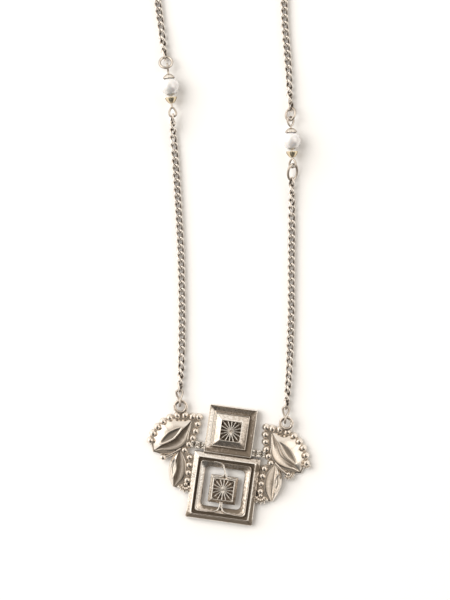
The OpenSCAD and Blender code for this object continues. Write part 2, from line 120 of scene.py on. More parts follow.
# %% Curves
def spline(table, count):
    """count rows on a Catmull-Rom curve through the rows of table, evenly spaced along its length
    as seen from above."""
    p = np.asarray(table, float)
    p = np.concatenate([p[:1], p, p[-1:]])
    t = np.linspace(0, len(p) - 3, 60 * (len(p) - 3) + 1)[:-1]
    i, f = t.astype(int), (t % 1)[:, None]
    a, b, c, d = p[i], p[i + 1], p[i + 2], p[i + 3]
    line = 0.5 * (2 * b + (c - a) * f
                  + (2 * a - 5 * b + 4 * c - d) * f**2 + (3 * b - a - 3 * c + d) * f**3)
    line = np.concatenate([line, p[-1:]])
    run = np.concatenate([[0], np.cumsum(np.linalg.norm(np.diff(line[:, :2], axis=0), axis=1))])
    s = np.linspace(0, run[-1], count)
    return np.stack([np.interp(s, run, line[:, k]) for k in range(line.shape[1])], -1)


def cut_corners(rows, times=2, ring=False):
    """Chaikin's rule: each edge keeps the points at its first and third quarter."""
    for _ in range(times):
        a, b = (rows, np.roll(rows, -1, 0)) if ring else (rows[:-1], rows[1:])
        cut = np.stack([0.75 * a + 0.25 * b, 0.25 * a + 0.75 * b], 1).reshape(-1, rows.shape[1])
        rows = cut if ring else np.concatenate([rows[:1], cut, rows[-1:]])
    return rows


def slopes(path, ring=False):
    """The direction of a path at each of its points, from its neighbours."""
    return unit(np.roll(path, -1, 0) - np.roll(path, 1, 0)) if ring else unit(np.gradient(path, axis=0))


print("five steps over a hill of three points:", spline([(0, 0), (1, 1), (2, 0)], 5).round(2).tolist())

# %% [markdown]
# ## Bars, wires and turned shapes
# Ribs and stems have a flat section carried along a path, rings and pins a circle, and cups, caps
# and the clasp a profile turned about an axis. Curve objects and the Screw modifier do the same,
# but a grid keeps count of its rows and columns, so that each point can get its own tarnish.

# %% Bars, wires and turned shapes
def bar(path, section):
    """A bar along a path: section holds (sideways, upwards) points, seen along the path."""
    way = slopes(path)
    side = unit(np.stack([way[:, 1], -way[:, 0], 0 * way[:, 0]], -1))
    up = np.cross(side, way)
    points = path[:, None] + side[:, None] * section[None, :, :1] + up[:, None] * section[None, :, 1:]
    return grid(points, ring_cols=True, ends=True)


def wire(path, thick, sides=10, ring=True):
    """Round wire round its own middle: at each point a circle square to the path, which starts
    on the side that looks away from the middle of all points."""
    way = slopes(path, ring)
    out = path - (path.max(0) + path.min(0)) / 2
    outwards = unit(out - (out * way).sum(-1, keepdims=True) * way)
    upwards = np.cross(outwards, way)
    angle = np.linspace(0, 2 * np.pi, sides, endpoint=False)
    circle = outwards[:, None] * np.cos(angle)[:, None] + upwards[:, None] * np.sin(angle)[:, None]
    points = path[:, None] + thick / 2 * circle
    return grid(points, ring_rows=ring, ring_cols=True, ends=not ring)


def lathe(profile, sides=40, flutes=0, depth=0.0):
    """A profile of (radius, height) turned about Z. With flutes, the radius swells and shrinks
    by depth as a cosine of the turn."""
    angle = np.linspace(0, 2 * np.pi, sides, endpoint=False)
    radius = profile[:, :1] * (1 + depth * np.cos(flutes * angle))
    height = np.repeat(profile[:, 1:], sides, 1)
    return np.stack([radius * np.cos(angle), radius * np.sin(angle), height], -1)


print("a turned ring has", lathe(np.array([[1.0, 0]])).shape[1], "places round it")

# %% [markdown]
# ## The pendant's own place
# The real pendant is one casting: frames, wings, settings and loops came out of one mould. In the
# photograph it lies turned a little clockwise. It could be drawn turned, but straight sides are
# easier to draw square, so each part is drawn upright round the pendant's own origin, and one
# function turns it and sets it down.

# %% Place of the pendant
PENDANT_AT = np.array([-0.3, -88.6, 0.0])
PENDANT_TURN = -8
LOWER_AT = np.array([0, -6.05, 0])
UPPER_AT = np.array([-0.1, 9.75, 0])
PLAQUE_AT = LOWER_AT + [0.05, -0.4, 0]

casting = {}
hollows = {}


def cast(name, *shapes, hollow=None):
    """Keeps a part of the casting under its name, turned by the pendant's angle and moved to its
    place. Hollow, where it is known, says for each point how deep in patina it sits, from -1
    where it is rubbed bright to 1 where it is dark. On the frames and wings it also carries painted
    shade and painted highlights."""
    points, faces = joined(*shapes)
    casting[name] = (turned(points, z=PENDANT_TURN) + PENDANT_AT, faces)
    hollows[name] = hollow
    print(name, len(points), "points")


print("pendant at", PENDANT_AT, "turned by", PENDANT_TURN)

# %% [markdown]
# ## Square mouldings
# Both frames are mouldings bent round a square. On the bench that is a milled strip, mitred at
# the corners. In Blender it could be a Bevel on a box, but the real profile has a cove, a groove
# and a lip, so the profile itself is carried round a rounded square.

# %% Square mouldings
def square_rows(half, radius, along=26, turn=5):
    """Each row is a square with round corners. Along a side the centre of the corner circle
    moves, round a corner the direction turns; a point is centre plus radius times direction."""
    share = np.linspace(-1, 1, along)
    angle = np.linspace(0, np.pi / 2, turn + 1)[1:-1]
    centre = np.concatenate([np.stack([1 + 0 * share, share], -1), np.ones((len(angle), 2))])
    way = np.concatenate([np.stack([1 + 0 * share, 0 * share], -1),
                          np.stack([np.cos(angle), np.sin(angle)], -1)])
    quarter = (half - radius)[:, None, None] * centre + radius[:, None, None] * way
    turns = np.pi / 2 * np.arange(4)
    spins = [np.array([[np.cos(q), np.sin(q)], [-np.sin(q), np.cos(q)]]) for q in turns]
    return np.concatenate([quarter @ spin for spin in spins], 1)


def moulding(half, profile, at, ring=False, painted_light_lean=0.45):
    """A profile of (inset, height, corner radius, hollow) carried round a square of that half
    width. To the hollow of a slope, the lean adds painted shade towards the lower right corner and a
    painted highlight towards the upper left one, as the light falls from the upper left."""
    rows = cut_corners(np.asarray(profile, float), 2, ring)
    flat = square_rows(half - rows[:, 0], rows[:, 2])
    z = np.broadcast_to(rows[:, 1, None, None], flat.shape[:2] + (1,))
    slope = 1 - abs(rows[:, 3:])
    # The lean paints shade towards the lower right and a highlight towards the upper left.
    hollow = rows[:, 3:] + slope * (painted_light_lean * flat[..., 0] - painted_light_lean * flat[..., 1]) / half
    hollow = hollow.ravel() if ring else np.concatenate([hollow.ravel(), rows[[0, -1], 3]])
    points, faces = grid(np.concatenate([flat, z], -1), ring_rows=ring, ring_cols=True, ends=not ring)
    return (points + at, faces), hollow


LOWER_PROFILE = [
    (0, 0, .25, .6), (0, .7, .25, .5), (0, 1.4, .25, -.3), (.04, 1.56, .25, -1), (.14, 1.68, .25, -.4),
    (.4, 1.9, .3, .2), (1.0, 2.4, .3, .2), (1.12, 2.52, .3, -.4), (1.22, 2.62, .35, -.9),
    (1.36, 2.7, .4, -1), (1.46, 2.64, .45, -.8), (1.58, 2.2, .5, .9), (1.72, 1.72, .6, 1),
    (1.88, 1.62, .65, 1), (2.04, 1.7, .75, 1), (2.16, 2.1, .85, .3), (2.24, 2.26, .9, -.9),
    (2.34, 2.28, .95, -1), (2.42, 2.18, 1, -.6), (2.5, 2.1, 1, .2), (2.6, 2.1, 1.05, -.6),
    (2.72, 2.02, 1.1, -.4), (3.0, 1.87, 1.15, -.2), (3.4, 1.62, 1.2, .1), (3.66, 1.46, 1.2, .5),
    (3.75, 1.3, 1.2, 1), (3.75, .6, 1.2, 1), (3.75, 0, 1.2, 1)
]
UPPER_PROFILE = [
    (0, 0, .2, .6), (0, .8, .2, .5), (0, 1.9, .2, 0), (.05, 2.06, .2, -.9), (.14, 2.12, .2, -1),
    (.24, 2.1, .2, -.9), (.3, 1.95, .2, 0), (.38, 1.64, .2, .4), (.55, 1.48, .2, .5), (.9, 1.36, .2, .5),
    (1.25, 1.24, .15, .5), (1.58, 1.14, .15, .6), (1.76, 1.3, .12, .6), (1.9, 1.7, .1, .1),
    (2.0, 1.88, .1, -1), (2.08, 1.88, .1, -1), (2.16, 1.8, .1, .4), (2.3, 1.82, .1, .1),
    (2.7, 2.0, .08, -.1), (3.6, 2.42, .08, -.2), (3.74, 2.54, .08, -1), (3.88, 2.54, .08, -1),
    (3.95, 2.3, .08, .5), (4.0, 1.7, .08, 1)
]
LOWER_HALF = 9.2
UPPER_HALF = 6.6
lower_frame, lower_hollow = moulding(LOWER_HALF, LOWER_PROFILE, LOWER_AT, ring=True)
upper_frame, upper_hollow = moulding(UPPER_HALF, UPPER_PROFILE, UPPER_AT)
print("frames:", len(lower_frame[0]), "and", len(upper_frame[0]), "points")

# %% [markdown]
# ## Painted light and shade on the frames
# Light and shade are not the same all round, and here they are partly painted. The lower frame gets
# brown painted shade on its outer slope at the foot and on its inner slope at the head, which turn
# from the light, and is painted darker on the lip under the ribs. The upper frame's left side gets a
# painted highlight, nearly white. Painting would do it by hand. Here each patch is a product of ramps
# over the distance from the frame's middle, which stays sharp at any size.

# %% Painted light and shade on the frames
def rising(values, start, width):
    """0 up to start, 1 from start plus width on, and a straight line between."""
    return np.clip((values - start) / width, 0, 1)


def falling(values, end, width):
    """1 up to end minus width, 0 from end on, and a straight line between."""
    return np.clip((end - values) / width, 0, 1)


across, down = lower_frame[0][:, 0], LOWER_AT[1] - lower_frame[0][:, 1]
painted_shade_foot = rising(down, 7.6, 0.3) * falling(down, 9.1, 0.2)
painted_shade_head = rising(down, -7.75, 0.2) * falling(down, -5.6, 0.3) * rising(across, -5.5, 1)
darker_lip = rising(down, 5.3, 0.2) * falling(down, 6.55, 0.1) * falling(abs(across), 5.6, 1)
painted_highlight_side = (falling(upper_frame[0][:, 0], -4.4, 0.5)
               * falling(abs(upper_frame[0][:, 1] - UPPER_AT[1]), 5.6, 1))
# Painted shade on the foot and head, a darker lip, and a painted highlight on the upper frame's left side.
cast("lower_frame", lower_frame,
     hollow=lower_hollow + 0.9 * painted_shade_foot + 0.8 * painted_shade_head + 0.6 * darker_lip)
cast("upper_frame", upper_frame, hollow=upper_hollow - 1.1 * painted_highlight_side)

# %% [markdown]
# ## Starbursts
# Sixteen bars run from a hub to the edge of a small square, with wedge-shaped hollows between
# them. They could be cut from a block with sixteen wedges, but the real ones are cast, with round
# tops and soft valleys. So the height is a formula of two things: how far a point lies from the
# nearest bar, and how far out it is, because the hollows get deeper and wider towards the edge.

# %% Starbursts
RAYS = 16
PLACES_PER_RAY = 16


def starburst(half, foot, top, depth, at, sunk, width=0.22):
    """Polar grid stretched to a square. A point at distance d from its nearest bar lies on the
    bar's round top, then falls in a flank to the hollow's middle line; the fall grows with the
    distance from the hub, and the hub itself is sunk as a shallow dish."""
    angle = np.linspace(0, 2 * np.pi, PLACES_PER_RAY * RAYS, endpoint=False)
    share = np.concatenate([np.linspace(0.015, 1, 22), [1.0]])[:, None]
    reach = share * half / np.maximum(abs(np.cos(angle)), abs(np.sin(angle)))
    step = 2 * np.pi / RAYS
    off = abs((angle + step / 2) % step - step / 2)
    d, middle = reach * np.sin(off), reach * np.sin(step / 2)
    fall = np.clip((d - 0.55 * width) / np.maximum(middle - 0.55 * width, 0.05), 0, 1)
    deep = np.clip((share - 0.12) / 0.5, 0, 1) ** 0.7
    crown = 0.16 * np.clip(d / width, 0, 1) ** 2
    z = top - sunk * (1 - share) ** 2 - crown - depth * deep * fall**0.8
    z[-1] = foot
    hollow = np.clip(9 * fall * deep, 0, 2) - 1 + 4 * sunk * np.clip(1 - 3 * share, 0, 1)
    points = np.stack([reach * np.cos(angle), reach * np.sin(angle), z], -1)
    points, faces = grid(points[::-1], ring_cols=True, ends=True)
    return (points + at, faces), np.concatenate([hollow[::-1].ravel(), [1, -1]])


PLAQUE_HALF = 3.8
PLAQUE_PROFILE = [
    (0, .9, .1, 1), (0, 1.4, .1, .8), (.03, 1.54, .1, .2), (.12, 1.64, .08, -.5), (.2, 1.7, .08, 0),
    (.4, 1.9, .08, 0), (.7, 2.2, .06, -.2), (.8, 2.34, .06, -.9), (.92, 2.4, .06, -1),
    (1.0, 2.38, .06, -.9), (1.06, 2.28, .06, .3), (1.1, 1.9, .06, 1), (1.12, 1.3, .06, 1)
]
# The plaque's hollows are only half as dark as those of the upper frame.
PLAQUE_DARKEST = 0.35
plaque_frame, plaque_hollow = moulding(PLAQUE_HALF, PLAQUE_PROFILE, PLAQUE_AT)
cast("plaque", plaque_frame, hollow=plaque_hollow)
plaque_star, plaque_star_hollow = starburst(2.74, 1.25, 2.3, 0.6, PLAQUE_AT, 0.1)
upper_star, upper_star_hollow = starburst(2.66, 1.5, 2.44, 0.6, UPPER_AT, 0.3)
cast("plaque_star", plaque_star, hollow=np.minimum(plaque_star_hollow, PLAQUE_DARKEST))
cast("upper_star", upper_star, hollow=upper_star_hollow)

# %% [markdown]
# ## Ribs
# Curved ribs hold the plaque inside the open frame. They leave the rim along it, swing inwards
# and meet the plaque, like the stems of a wrought grille. A curve object with a round bevel would
# do, but the ribs stand on the mould's floor with upright sides, so a section with a round top is
# carried along a spline through a few places read along each rib.

# %% Ribs
def round_top(width, foot, top):
    """Section of a rib: upright sides under half an ellipse."""
    angle = np.linspace(0, np.pi, 9)
    crown = np.stack([width / 2 * np.cos(angle), top - width / 2 + width / 2 * np.sin(angle)], -1)
    return np.concatenate([crown, [[-width / 2, foot], [width / 2, foot]]])[::-1]


RIBS = [
    [(-3.4, .84), (-2.2, .8), (-1.3, .6), (-.75, .15), (-.42, -.6), (0, -1.8), (.4, -2.6),
     (1, -3.05), (2, -3.25), (3.1, -3.3)],
    [(-3.1, -3.3), (-2, -3.3), (-1.1, -3.1), (-.5, -2.75), (-.15, -2.3)],
    [(-.2, -9.8), (-.22, -10.9), (-.35, -11.6), (-.7, -12.2), (-1.3, -12.6), (-2.1, -12.78),
     (-3.4, -12.82)],
    [(.2, -9.8), (.24, -10.9), (.4, -11.6), (.8, -12.2), (1.45, -12.6), (2.3, -12.78), (3.6, -12.82)],
]
rib_section = round_top(width=0.5, foot=1.1, top=2.42)
cast("ribs", *[bar(np.pad(spline(places, 40), ((0, 0), (0, 1))), rib_section) for places in RIBS])

# %% [markdown]
# ## The wings
# Each wing is a thin plate with a border of beads, two leaves in relief and a pointed cell on
# each leaf. The right wing is the left one mirrored. The plate could be a filled curve, but its
# outline follows every bead. So the outline is a union of a few polygons and a disc under every
# bead: for each point of a fine grid the signed distance to that union is worked out, and the
# outermost points of the grid are moved onto the line.

# %% Outline of the plate
def arc_row(a, b, bulge, n):
    """n places on the arc from a to b that stands bulge above its chord."""
    a, b = np.asarray(a, float), np.asarray(b, float)
    c = np.linalg.norm(b - a)
    u = (b - a) / c
    v = np.array([-u[1], u[0]])
    r = (c * c / 4 + bulge * bulge) / (2 * bulge)
    h = np.arcsin(c / 2 / abs(r))
    q = np.linspace(-h, h, n)[:, None]
    return (a + b) / 2 - v * (r - bulge) + u * abs(r) * np.sin(q) + v * r * np.cos(q)


def polygon_distance(p, corners):
    """Signed distance from points to a polygon, negative inside: the nearest of all edges, and
    the sign from the sum of the turns that the corners make round the point."""
    a = np.asarray(corners, float)
    edge = np.roll(a, -1, 0) - a
    w = p[..., None, :] - a
    share = np.clip((w * edge).sum(-1) / (edge * edge).sum(-1), 0, 1)
    near = np.sqrt(((w - share[..., None] * edge) ** 2).sum(-1)).min(-1)
    b = np.roll(w, -1, -2)
    turn = np.arctan2(w[..., 0] * b[..., 1] - w[..., 1] * b[..., 0], (w * b).sum(-1)).sum(-1)
    return np.where(abs(turn) > np.pi, -near, near)


print("a point inside a square lies", polygon_distance(np.zeros(2), [(-1, -1), (1, -1), (1, 1), (-1, 1)]))

# %% Rows of beads and outline of the left wing
OUTER = arc_row((-21.5, 4.3), (-10.9, 12.3), 2.85, 8)
INNER = arc_row((-9.2, 12.4), (-11.9, 2.9), 0.75, 6)
LOWER = arc_row((-10.3, 1.1), (-10.1, -5.2), 0.15, 4)
ROW_END = np.array([-10.5, -7.2])
BALL = np.array([-17.5, 0.2])
BEAD = 0.95
PLATE = 0.9
PLATE_SHAPES = [
    np.concatenate([OUTER, INNER, [(-13.5, 2.1), (-15.6, 1.3), (-18.2, .9), (-20.5, 1.3), (-21.2, 3)]]),
    np.concatenate([LOWER, [(-9, -5.6), (-9, 1.6), (-12, 3)]]),
    [(-12, 3.2), (-10.3, 1.3), (-10.1, -5.2), (-10.5, -7.2), (-13, -7.7), (-13.9, -7.4),
     (-14.9, -5.6), (-15.5, -3.2), (-15.3, -1), (-14.5, 1), (-13.6, 3)],
]
print("beads in the border:", len(OUTER) + len(INNER) + len(LOWER))

# %% The plate
PLATE_EDGE = 0.1


def plate_distance(p):
    """Signed distance to the plate's outline, negative on the plate: the nearest disc's or the
    nearest polygon's, whichever is less."""
    discs = np.concatenate([OUTER, INNER, LOWER, [ROW_END]])
    round_part = np.linalg.norm(p[..., None, :] - discs, axis=-1).min(-1) - BEAD - PLATE_EDGE
    return np.minimum.reduce([round_part] + [polygon_distance(p, s) for s in PLATE_SHAPES])


def plate(cell=0.16, rim_drop=0.22, rim_wide=0.3):
    """Top at the plate's height, which falls by a square towards the rim, a flat back, and a
    wall along every edge that only one of the kept squares has."""
    x, y = np.arange(-24, -8, cell), np.arange(-10, 17, cell)
    places = np.stack(np.meshgrid(x, y, indexing="ij"), -1)
    distance = plate_distance(places)
    slope = np.stack(np.gradient(distance, cell), -1)
    slope /= np.maximum(np.linalg.norm(slope, axis=-1, keepdims=True), 1e-6)
    places = np.where((distance > 0)[..., None], places - slope * distance[..., None], places)
    quads = grid(np.pad(places, ((0, 0), (0, 0), (0, 1))))[1][0]
    quads = quads[(distance.ravel()[quads] < 0).any(1)]
    used, quads = np.unique(quads, return_inverse=True)
    quads = quads.reshape(-1, 4)
    flat, depth = places.reshape(-1, 2)[used], -np.minimum(distance.ravel()[used], 0)
    top = PLATE - rim_drop * (1 - np.clip(depth / rim_wide, 0, 1)) ** 2
    count = len(flat)
    points = np.concatenate([np.column_stack([flat, top]), np.column_stack([flat, 0 * top])])
    edge = np.stack([quads, np.roll(quads, -1, 1)], -1).reshape(-1, 2)
    key, back = edge[:, 0] * count + edge[:, 1], edge[:, 1] * count + edge[:, 0]
    rim = edge[~np.isin(key, back)]
    wall = np.stack([rim[:, 1], rim[:, 0], rim[:, 0] + count, rim[:, 1] + count], -1)
    return points, [quads, quads[:, ::-1] + count, wall]


wing_plate = plate()
print("wing plate:", len(wing_plate[0]), "points")

# %% [markdown]
# ## Leaves, cells, beads and stems
# Each leaf of the casting swells on one side of its midrib and falls sharply into a trough on the
# other, and carries a cell, a pointed oval wall round a dished floor. Sculpting would give such
# forms too, but not twice the same. Here a leaf is one cross section, stretched and lifted along
# the midrib, and a cell is a stack of pointed ovals that step inwards.

# %% Leaves and cells
# Place across the leaf, share of the midrib's height, hollow.
LEAF_SECTION = np.array([
    (1.08, -.06, .4), (1, .04, .2), (.9, .18, 0), (.75, .4, -.1), (.6, .57, -.2), (.45, .71, -.2),
    (.3, .83, -.2), (.15, .93, -.3), (.06, .985, -.6), (0, 1, -.8), (-.025, .95, .2), (-.06, .74, 1),
    (-.1, .4, 1), (-.14, .16, 1), (-.2, .04, 1), (-.28, .01, 1), (-.38, .04, 1), (-.5, .1, .9),
    (-.64, .19, .7), (-.8, .29, .35), (-.92, .34, 0), (-1.02, .36, -.3), (-1.12, .3, .1)
])
# Midrib from stalk to tip: x, y, reach above it, reach below it, height.
BIG_LEAF = [
    (-11.2, 11.1, .4, .3, 1.3), (-12.5, 9.4, 2.5, 1.5, 2.2), (-13.7, 7.9, 4.3, 2.6, 2.6),
    (-14.9, 5.9, 5.3, 2.9, 2.7), (-16.6, 4.6, 4.8, 2.4, 2.6), (-18.4, 3.5, 3.2, 1.5, 2.2),
    (-20, 1.9, .4, .3, 1.2)
]
SMALL_LEAF = [
    (-13.3, 2.8, .3, .4, 1.2), (-13.8, .8, .9, 2.1, 2), (-14, -1.4, 1.4, 2.8, 2.3),
    (-14, -3.6, 1.3, 2.8, 2.3), (-13.9, -5.6, .8, 2.1, 1.9), (-13.6, -7.4, .2, .3, 1.2)
]


def leaf(table, rows=64, foot=0.5, edge=1.05):
    """Sections along a spline of (x, y, reach above, reach below, height): sideways by the
    section's first number times the reach, upwards by its second times the height over the edge.
    The underside lies at the height of the foot, inside the plate."""
    mid = spline(table, rows)
    way = slopes(np.pad(mid[:, :2], ((0, 0), (0, 1))))
    side = np.stack([way[:, 1], -way[:, 0]], -1)
    across, lift, wear = LEAF_SECTION.T
    reach = np.where(across > 0, mid[:, 2:3], mid[:, 3:4]) * across
    height = edge + (mid[:, 4:5] - edge) * lift
    flat = mid[:, None, :2] + side[:, None] * reach[..., None]
    points = np.concatenate([flat, height[..., None]], -1)
    low = points[:, [-1, 0]] * [1, 1, 0] + [0, 0, foot]
    hollow = np.concatenate([np.tile(np.append(wear, [.4, .4]), rows), [.4, .4]])
    return grid(np.concatenate([points, low], 1), ring_cols=True, ends=True), hollow


# From a cell's wall over its rim to its floor: inset, height over the rim, hollow.
CELL_ROWS = [
    (0, -1.6, 1), (0, -.3, .8), (.03, -.12, .3), (.07, -.02, -.8), (.12, 0, -1), (.17, -.04, -.8),
    (.22, -.14, .2), (.3, -.24, .8), (.5, -.32, .7), (.75, -.36, .6)
]


def cell(x, y, length, width, turn, rim, slim=0.55, count=48):
    """Rows step inwards from the wall over the rim to the floor; each row is a pointed oval whose
    half width is a circle's, slimmed towards its tips."""
    inmost = width / 2 - 0.06
    rows = np.array(CELL_ROWS + [(inmost, -.38, .5)])
    angle = np.linspace(0, 2 * np.pi, count, endpoint=False)
    share = np.cos(angle)
    half = np.sqrt(np.maximum((1 - share**2) * (1 - slim * abs(share)), 0)) * np.sign(np.sin(angle) + 1e-12)
    inset = np.minimum(rows[:, :1], inmost)
    points = np.stack([(length / 2 - 1.6 * inset) * share, (width / 2 - inset) * half,
                       np.repeat(rim + rows[:, 1:2], count, 1)], -1)
    shape = grid(points, ring_cols=True, ends=True)
    hollow = np.concatenate([np.repeat(rows[:, 2], count), [1, .5]])
    return (turned(shape[0], z=turn) + [x, y, 0], shape[1]), hollow


def pair(first, second):
    """Two shapes with their hollows as one."""
    return joined(first[0], second[0]), np.concatenate([first[1], second[1]])


leaves, leaf_hollow = pair(leaf(BIG_LEAF), leaf(SMALL_LEAF))
cells, cell_hollow = pair(cell(-16.15, 6.4, 7.9, 2.6, 44, 2.95), cell(-14.3, -2.4, 5.7, 1.85, 91, 2.6))
print("leaves and cells:", len(leaves[0]) + len(cells[0]), "points")

# %% [markdown]
# ## Beads, shells and stems
# The border beads are cast with the plate and no two are quite the same size, because the wax
# model had them so. A particle system could scatter them, but their places are known, so one ball
# is copied to each place of the rows. A stem runs between the leaves, and ends in a plain ball on
# the left and in a small shell on the right. The lower row ends in a larger shell.

# %% Beads, shells and stems
def ball(sides=20, rings=12):
    """A ball of radius one: a half circle turned about Z."""
    angle = np.linspace(-np.pi / 2, np.pi / 2, rings + 1)[1:-1]
    return grid(lathe(np.column_stack([np.cos(angle), np.sin(angle)]), sides), ring_cols=True, ends=True)


def bead_at(at, z, radius):
    """One ball of that radius at a flat place and a height."""
    shape = ball()
    return shape[0] * radius + [*at, z], shape[1]


def shell(at, r, turn, z, bead):
    """A bead with five petals on one side: balls stretched to half ovals, 31 degrees apart, so
    that they touch like the ribs of a shell."""
    points, faces = ball(12, 8)
    petal = points * [0.5 * r, 0.23 * r, 0.42 * r] + [0.8 * r, 0, 0]
    petals = [(turned(petal, z=turn + 31 * k) + [*at, z], faces) for k in range(-2, 3)]
    return joined(bead_at(at, z + 0.15, bead), *petals)


def with_height(places, z):
    """Flat places as points at one height."""
    return np.column_stack([places, np.full(len(places), z)])


rng = np.random.default_rng(7)
border = np.concatenate([OUTER, INNER, LOWER])
bead_sizes = BEAD * (1 + 0.025 * rng.standard_normal(len(border)))
beads = repeated(ball(), with_height(border, 1.05), bead_sizes)
stem_line = spline([(-12.9, 3.1), (-14.5, 1.9), (-16, .9), BALL], 30)
stem = bar(with_height(stem_line, 0), round_top(0.75, 0.02, 1.8))
curl = bead_at((-15.2, 2.9), 0.95, 0.6)
row_shell = shell(ROW_END + [.15, .9], 1.95, 266, 1.2, .6)
knobs = joined(beads, row_shell, stem, curl)
stem_ball = bead_at(BALL, 1.35, 0.92)
stem_shell = shell(BALL + [.4, .5], 1.4, 240, 1.3, .55)
border_shell = shell(OUTER[0] - [0, .1], 1.2, 268, 1.25, .5)
print("beads, stem and shell:", len(knobs[0]), "points")

# %% [markdown]
# ## Both wings
# The right wing of the real piece mirrors the left one, but it was set by hand: a touch lower and
# further out, and turned a little. A Mirror modifier would make them the same, so each wing has a
# function of its own. Light and shade are painted differently on the two sides too. In a leaf's
# trough or a cell's floor, the hollow is multiplied by a number of that side. This puts more painted
# shade in the left troughs than in the right ones, and a number below zero paints the left floor
# bright as a highlight.

# %% Both wings
def left_wing(shape):
    """The wing as drawn, turned a touch."""
    return turned(shape[0], z=0.5), shape[1]


def right_wing(shape):
    """The wing mirrored across X, turned a touch and set lower and further out."""
    return inside_out((turned(shape[0] * [-1, 1, 1], z=-0.3) + [0.15, -0.3, 0], shape[1]))


# How each wing is set, what its troughs and its floors are multiplied by, which paints light and shade
# differently on the two sides, and its last pieces.
WINGS = {
    "left": (left_wing, 0.75, -0.5, stem_ball),
    "right": (right_wing, 0.2, 0.3, joined(stem_shell, border_shell)),
}
for side, (put, trough_patina_and_shade, floor_patina_and_highlight, end_pieces) in WINGS.items():
    cast("wing_plate_" + side, put(wing_plate))
    # Patina scaled by side: painted shade in the left troughs and a painted highlight on the left floor.
    cast("leaves_" + side, put(leaves), hollow=np.where(leaf_hollow > 0, trough_patina_and_shade, 1) * leaf_hollow)
    cast("leaf_cells_" + side, put(cells), hollow=np.where(cell_hollow > 0, floor_patina_and_highlight, 1) * cell_hollow)
    cast("beads_" + side, put(knobs), put(end_pieces))

# %% [markdown]
# ## Settings, bridges and wing loops
# Between frames and wings, thin bridges carry four tiny cups, each with four prong beads
# round its crystal. A thick round loop lies on each wing and takes the chain. Cup and prongs
# are turned and copied like the rest of the casting, so that they age with it.

# %% Settings, bridges and loops
SETTINGS = np.array([(-9.45, 4.8), (-7.7, 4.75), (7.5, 4.65), (9.2, 4.7)])
PRONG_OUT, PRONG_Z, PRONG_R = 0.92, 1.78, 0.36
cup_profile = cut_corners(np.array([
    (1.0, 0), (1.0, .5), (1.0, 1.5), (.98, 1.7), (.9, 1.78), (.8, 1.74), (.76, 1.62), (.76, 1.1),
    (.72, 1.0), (.5, .98), (.2, .98)]), 1)
cup = grid(lathe(cup_profile, 32), ring_cols=True, ends=True)
prong_turns = np.radians(45 + 90 * np.arange(4))
prong_places = PRONG_OUT * np.stack([np.cos(prong_turns), np.sin(prong_turns)], -1)


def slab(x, y, wide, deep, high):
    """A flat bar with rounded top edges: a row of rectangles, the top one a little smaller."""
    rows = np.array([(0, 0), (0, .5 * high), (0, high - .15), (.05, high - .04), (.15, high)])
    corners = np.array([(-1, -1), (1, -1), (1, 1), (-1, 1)])
    half = np.array([wide, deep]) / 2 - rows[:, :1]
    flat = half[:, None] * corners + [x + wide / 2, y + deep / 2]
    return grid(np.concatenate([flat, np.repeat(rows[:, 1:, None], 4, 1)], -1), ring_cols=True, ends=True)


def oval(wide, long, count=48, gap=0.0):
    """A closed or almost closed oval in the XY plane, a sine across and a cosine along, that
    starts and ends at +Y."""
    angle = np.linspace(gap, 2 * np.pi - gap, count, endpoint=gap > 0)
    return np.stack([wide / 2 * np.sin(angle), long / 2 * np.cos(angle), 0 * angle], -1)


prongs = repeated(ball(12, 8), with_height(prong_places, PRONG_Z), np.full(4, PRONG_R))
cast("settings", repeated(joined(cup, prongs), with_height(SETTINGS, 0)),
     slab(-11.2, 4.15, 4.9, 1.3, PLATE), slab(6.3, 4.0, 4.6, 1.3, PLATE))
LOOP_WIRE = 0.95
LOOP_MIDDLE = 3.15
loop = wire(oval(LOOP_MIDDLE, LOOP_MIDDLE), LOOP_WIRE, 14)
cast("wing_loops", repeated(loop, [(-14.65, 14.45, 1.4), (14.7, 14, 1.9)]))

# %% [markdown]
# ## Where the patina sits
# Patina stays in the hollows and is rubbed off whatever stands proud. The shader's Pointiness
# tells them apart too, but it depends on how fine a mesh is, and knows nothing of neighbouring
# parts. So the casting's height is written on a fine map, the map is blurred, and each point
# compares its own height with the blurred one.

# %% Hollows of the casting
MAP_CELL = 0.12
MAP_MARGIN = 3
GROOVE, COVE = 0.35, 1.1


def sampled(shape, steps=7):
    """Points spread over every face: each quad is a blend of its four corners."""
    share = (np.arange(steps) + 0.5) / steps
    u, v = (g.ravel()[:, None] for g in np.meshgrid(share, share))
    found = []
    for block in shape[1]:
        a, b, c, d = (shape[0][block[:, k]] for k in (0, 1, 2, block.shape[1] - 1))
        found.append(((1 - u) * ((1 - v) * a[:, None] + v * b[:, None])
                      + u * ((1 - v) * d[:, None] + v * c[:, None])).reshape(-1, 3))
    return np.concatenate(found)


def blurred(image, reach):
    """Mean over a square window, along one side and then the other, from running sums."""
    for axis in (0, 1):
        padded = np.pad(image, [(reach + 1, reach) if k == axis else (0, 0) for k in (0, 1)], mode="edge")
        total = np.cumsum(padded, axis)
        image = (np.take(total, np.arange(2 * reach + 1, total.shape[axis]), axis)
                 - np.take(total, np.arange(total.shape[axis] - 2 * reach - 1), axis)) / (2 * reach + 1)
    return image


cloud = np.concatenate([sampled(shape) for shape in casting.values()])
corner = cloud[:, :2].min(0) - MAP_MARGIN
size = ((cloud[:, :2].max(0) + MAP_MARGIN - corner) / MAP_CELL).astype(int)
relief = np.zeros(size)
at = ((cloud[:, :2] - corner) / MAP_CELL).astype(int)
np.maximum.at(relief, (at[:, 0], at[:, 1]), cloud[:, 2])
near_height, wide_height = blurred(blurred(relief, 1), 2), blurred(blurred(relief, 5), 5)


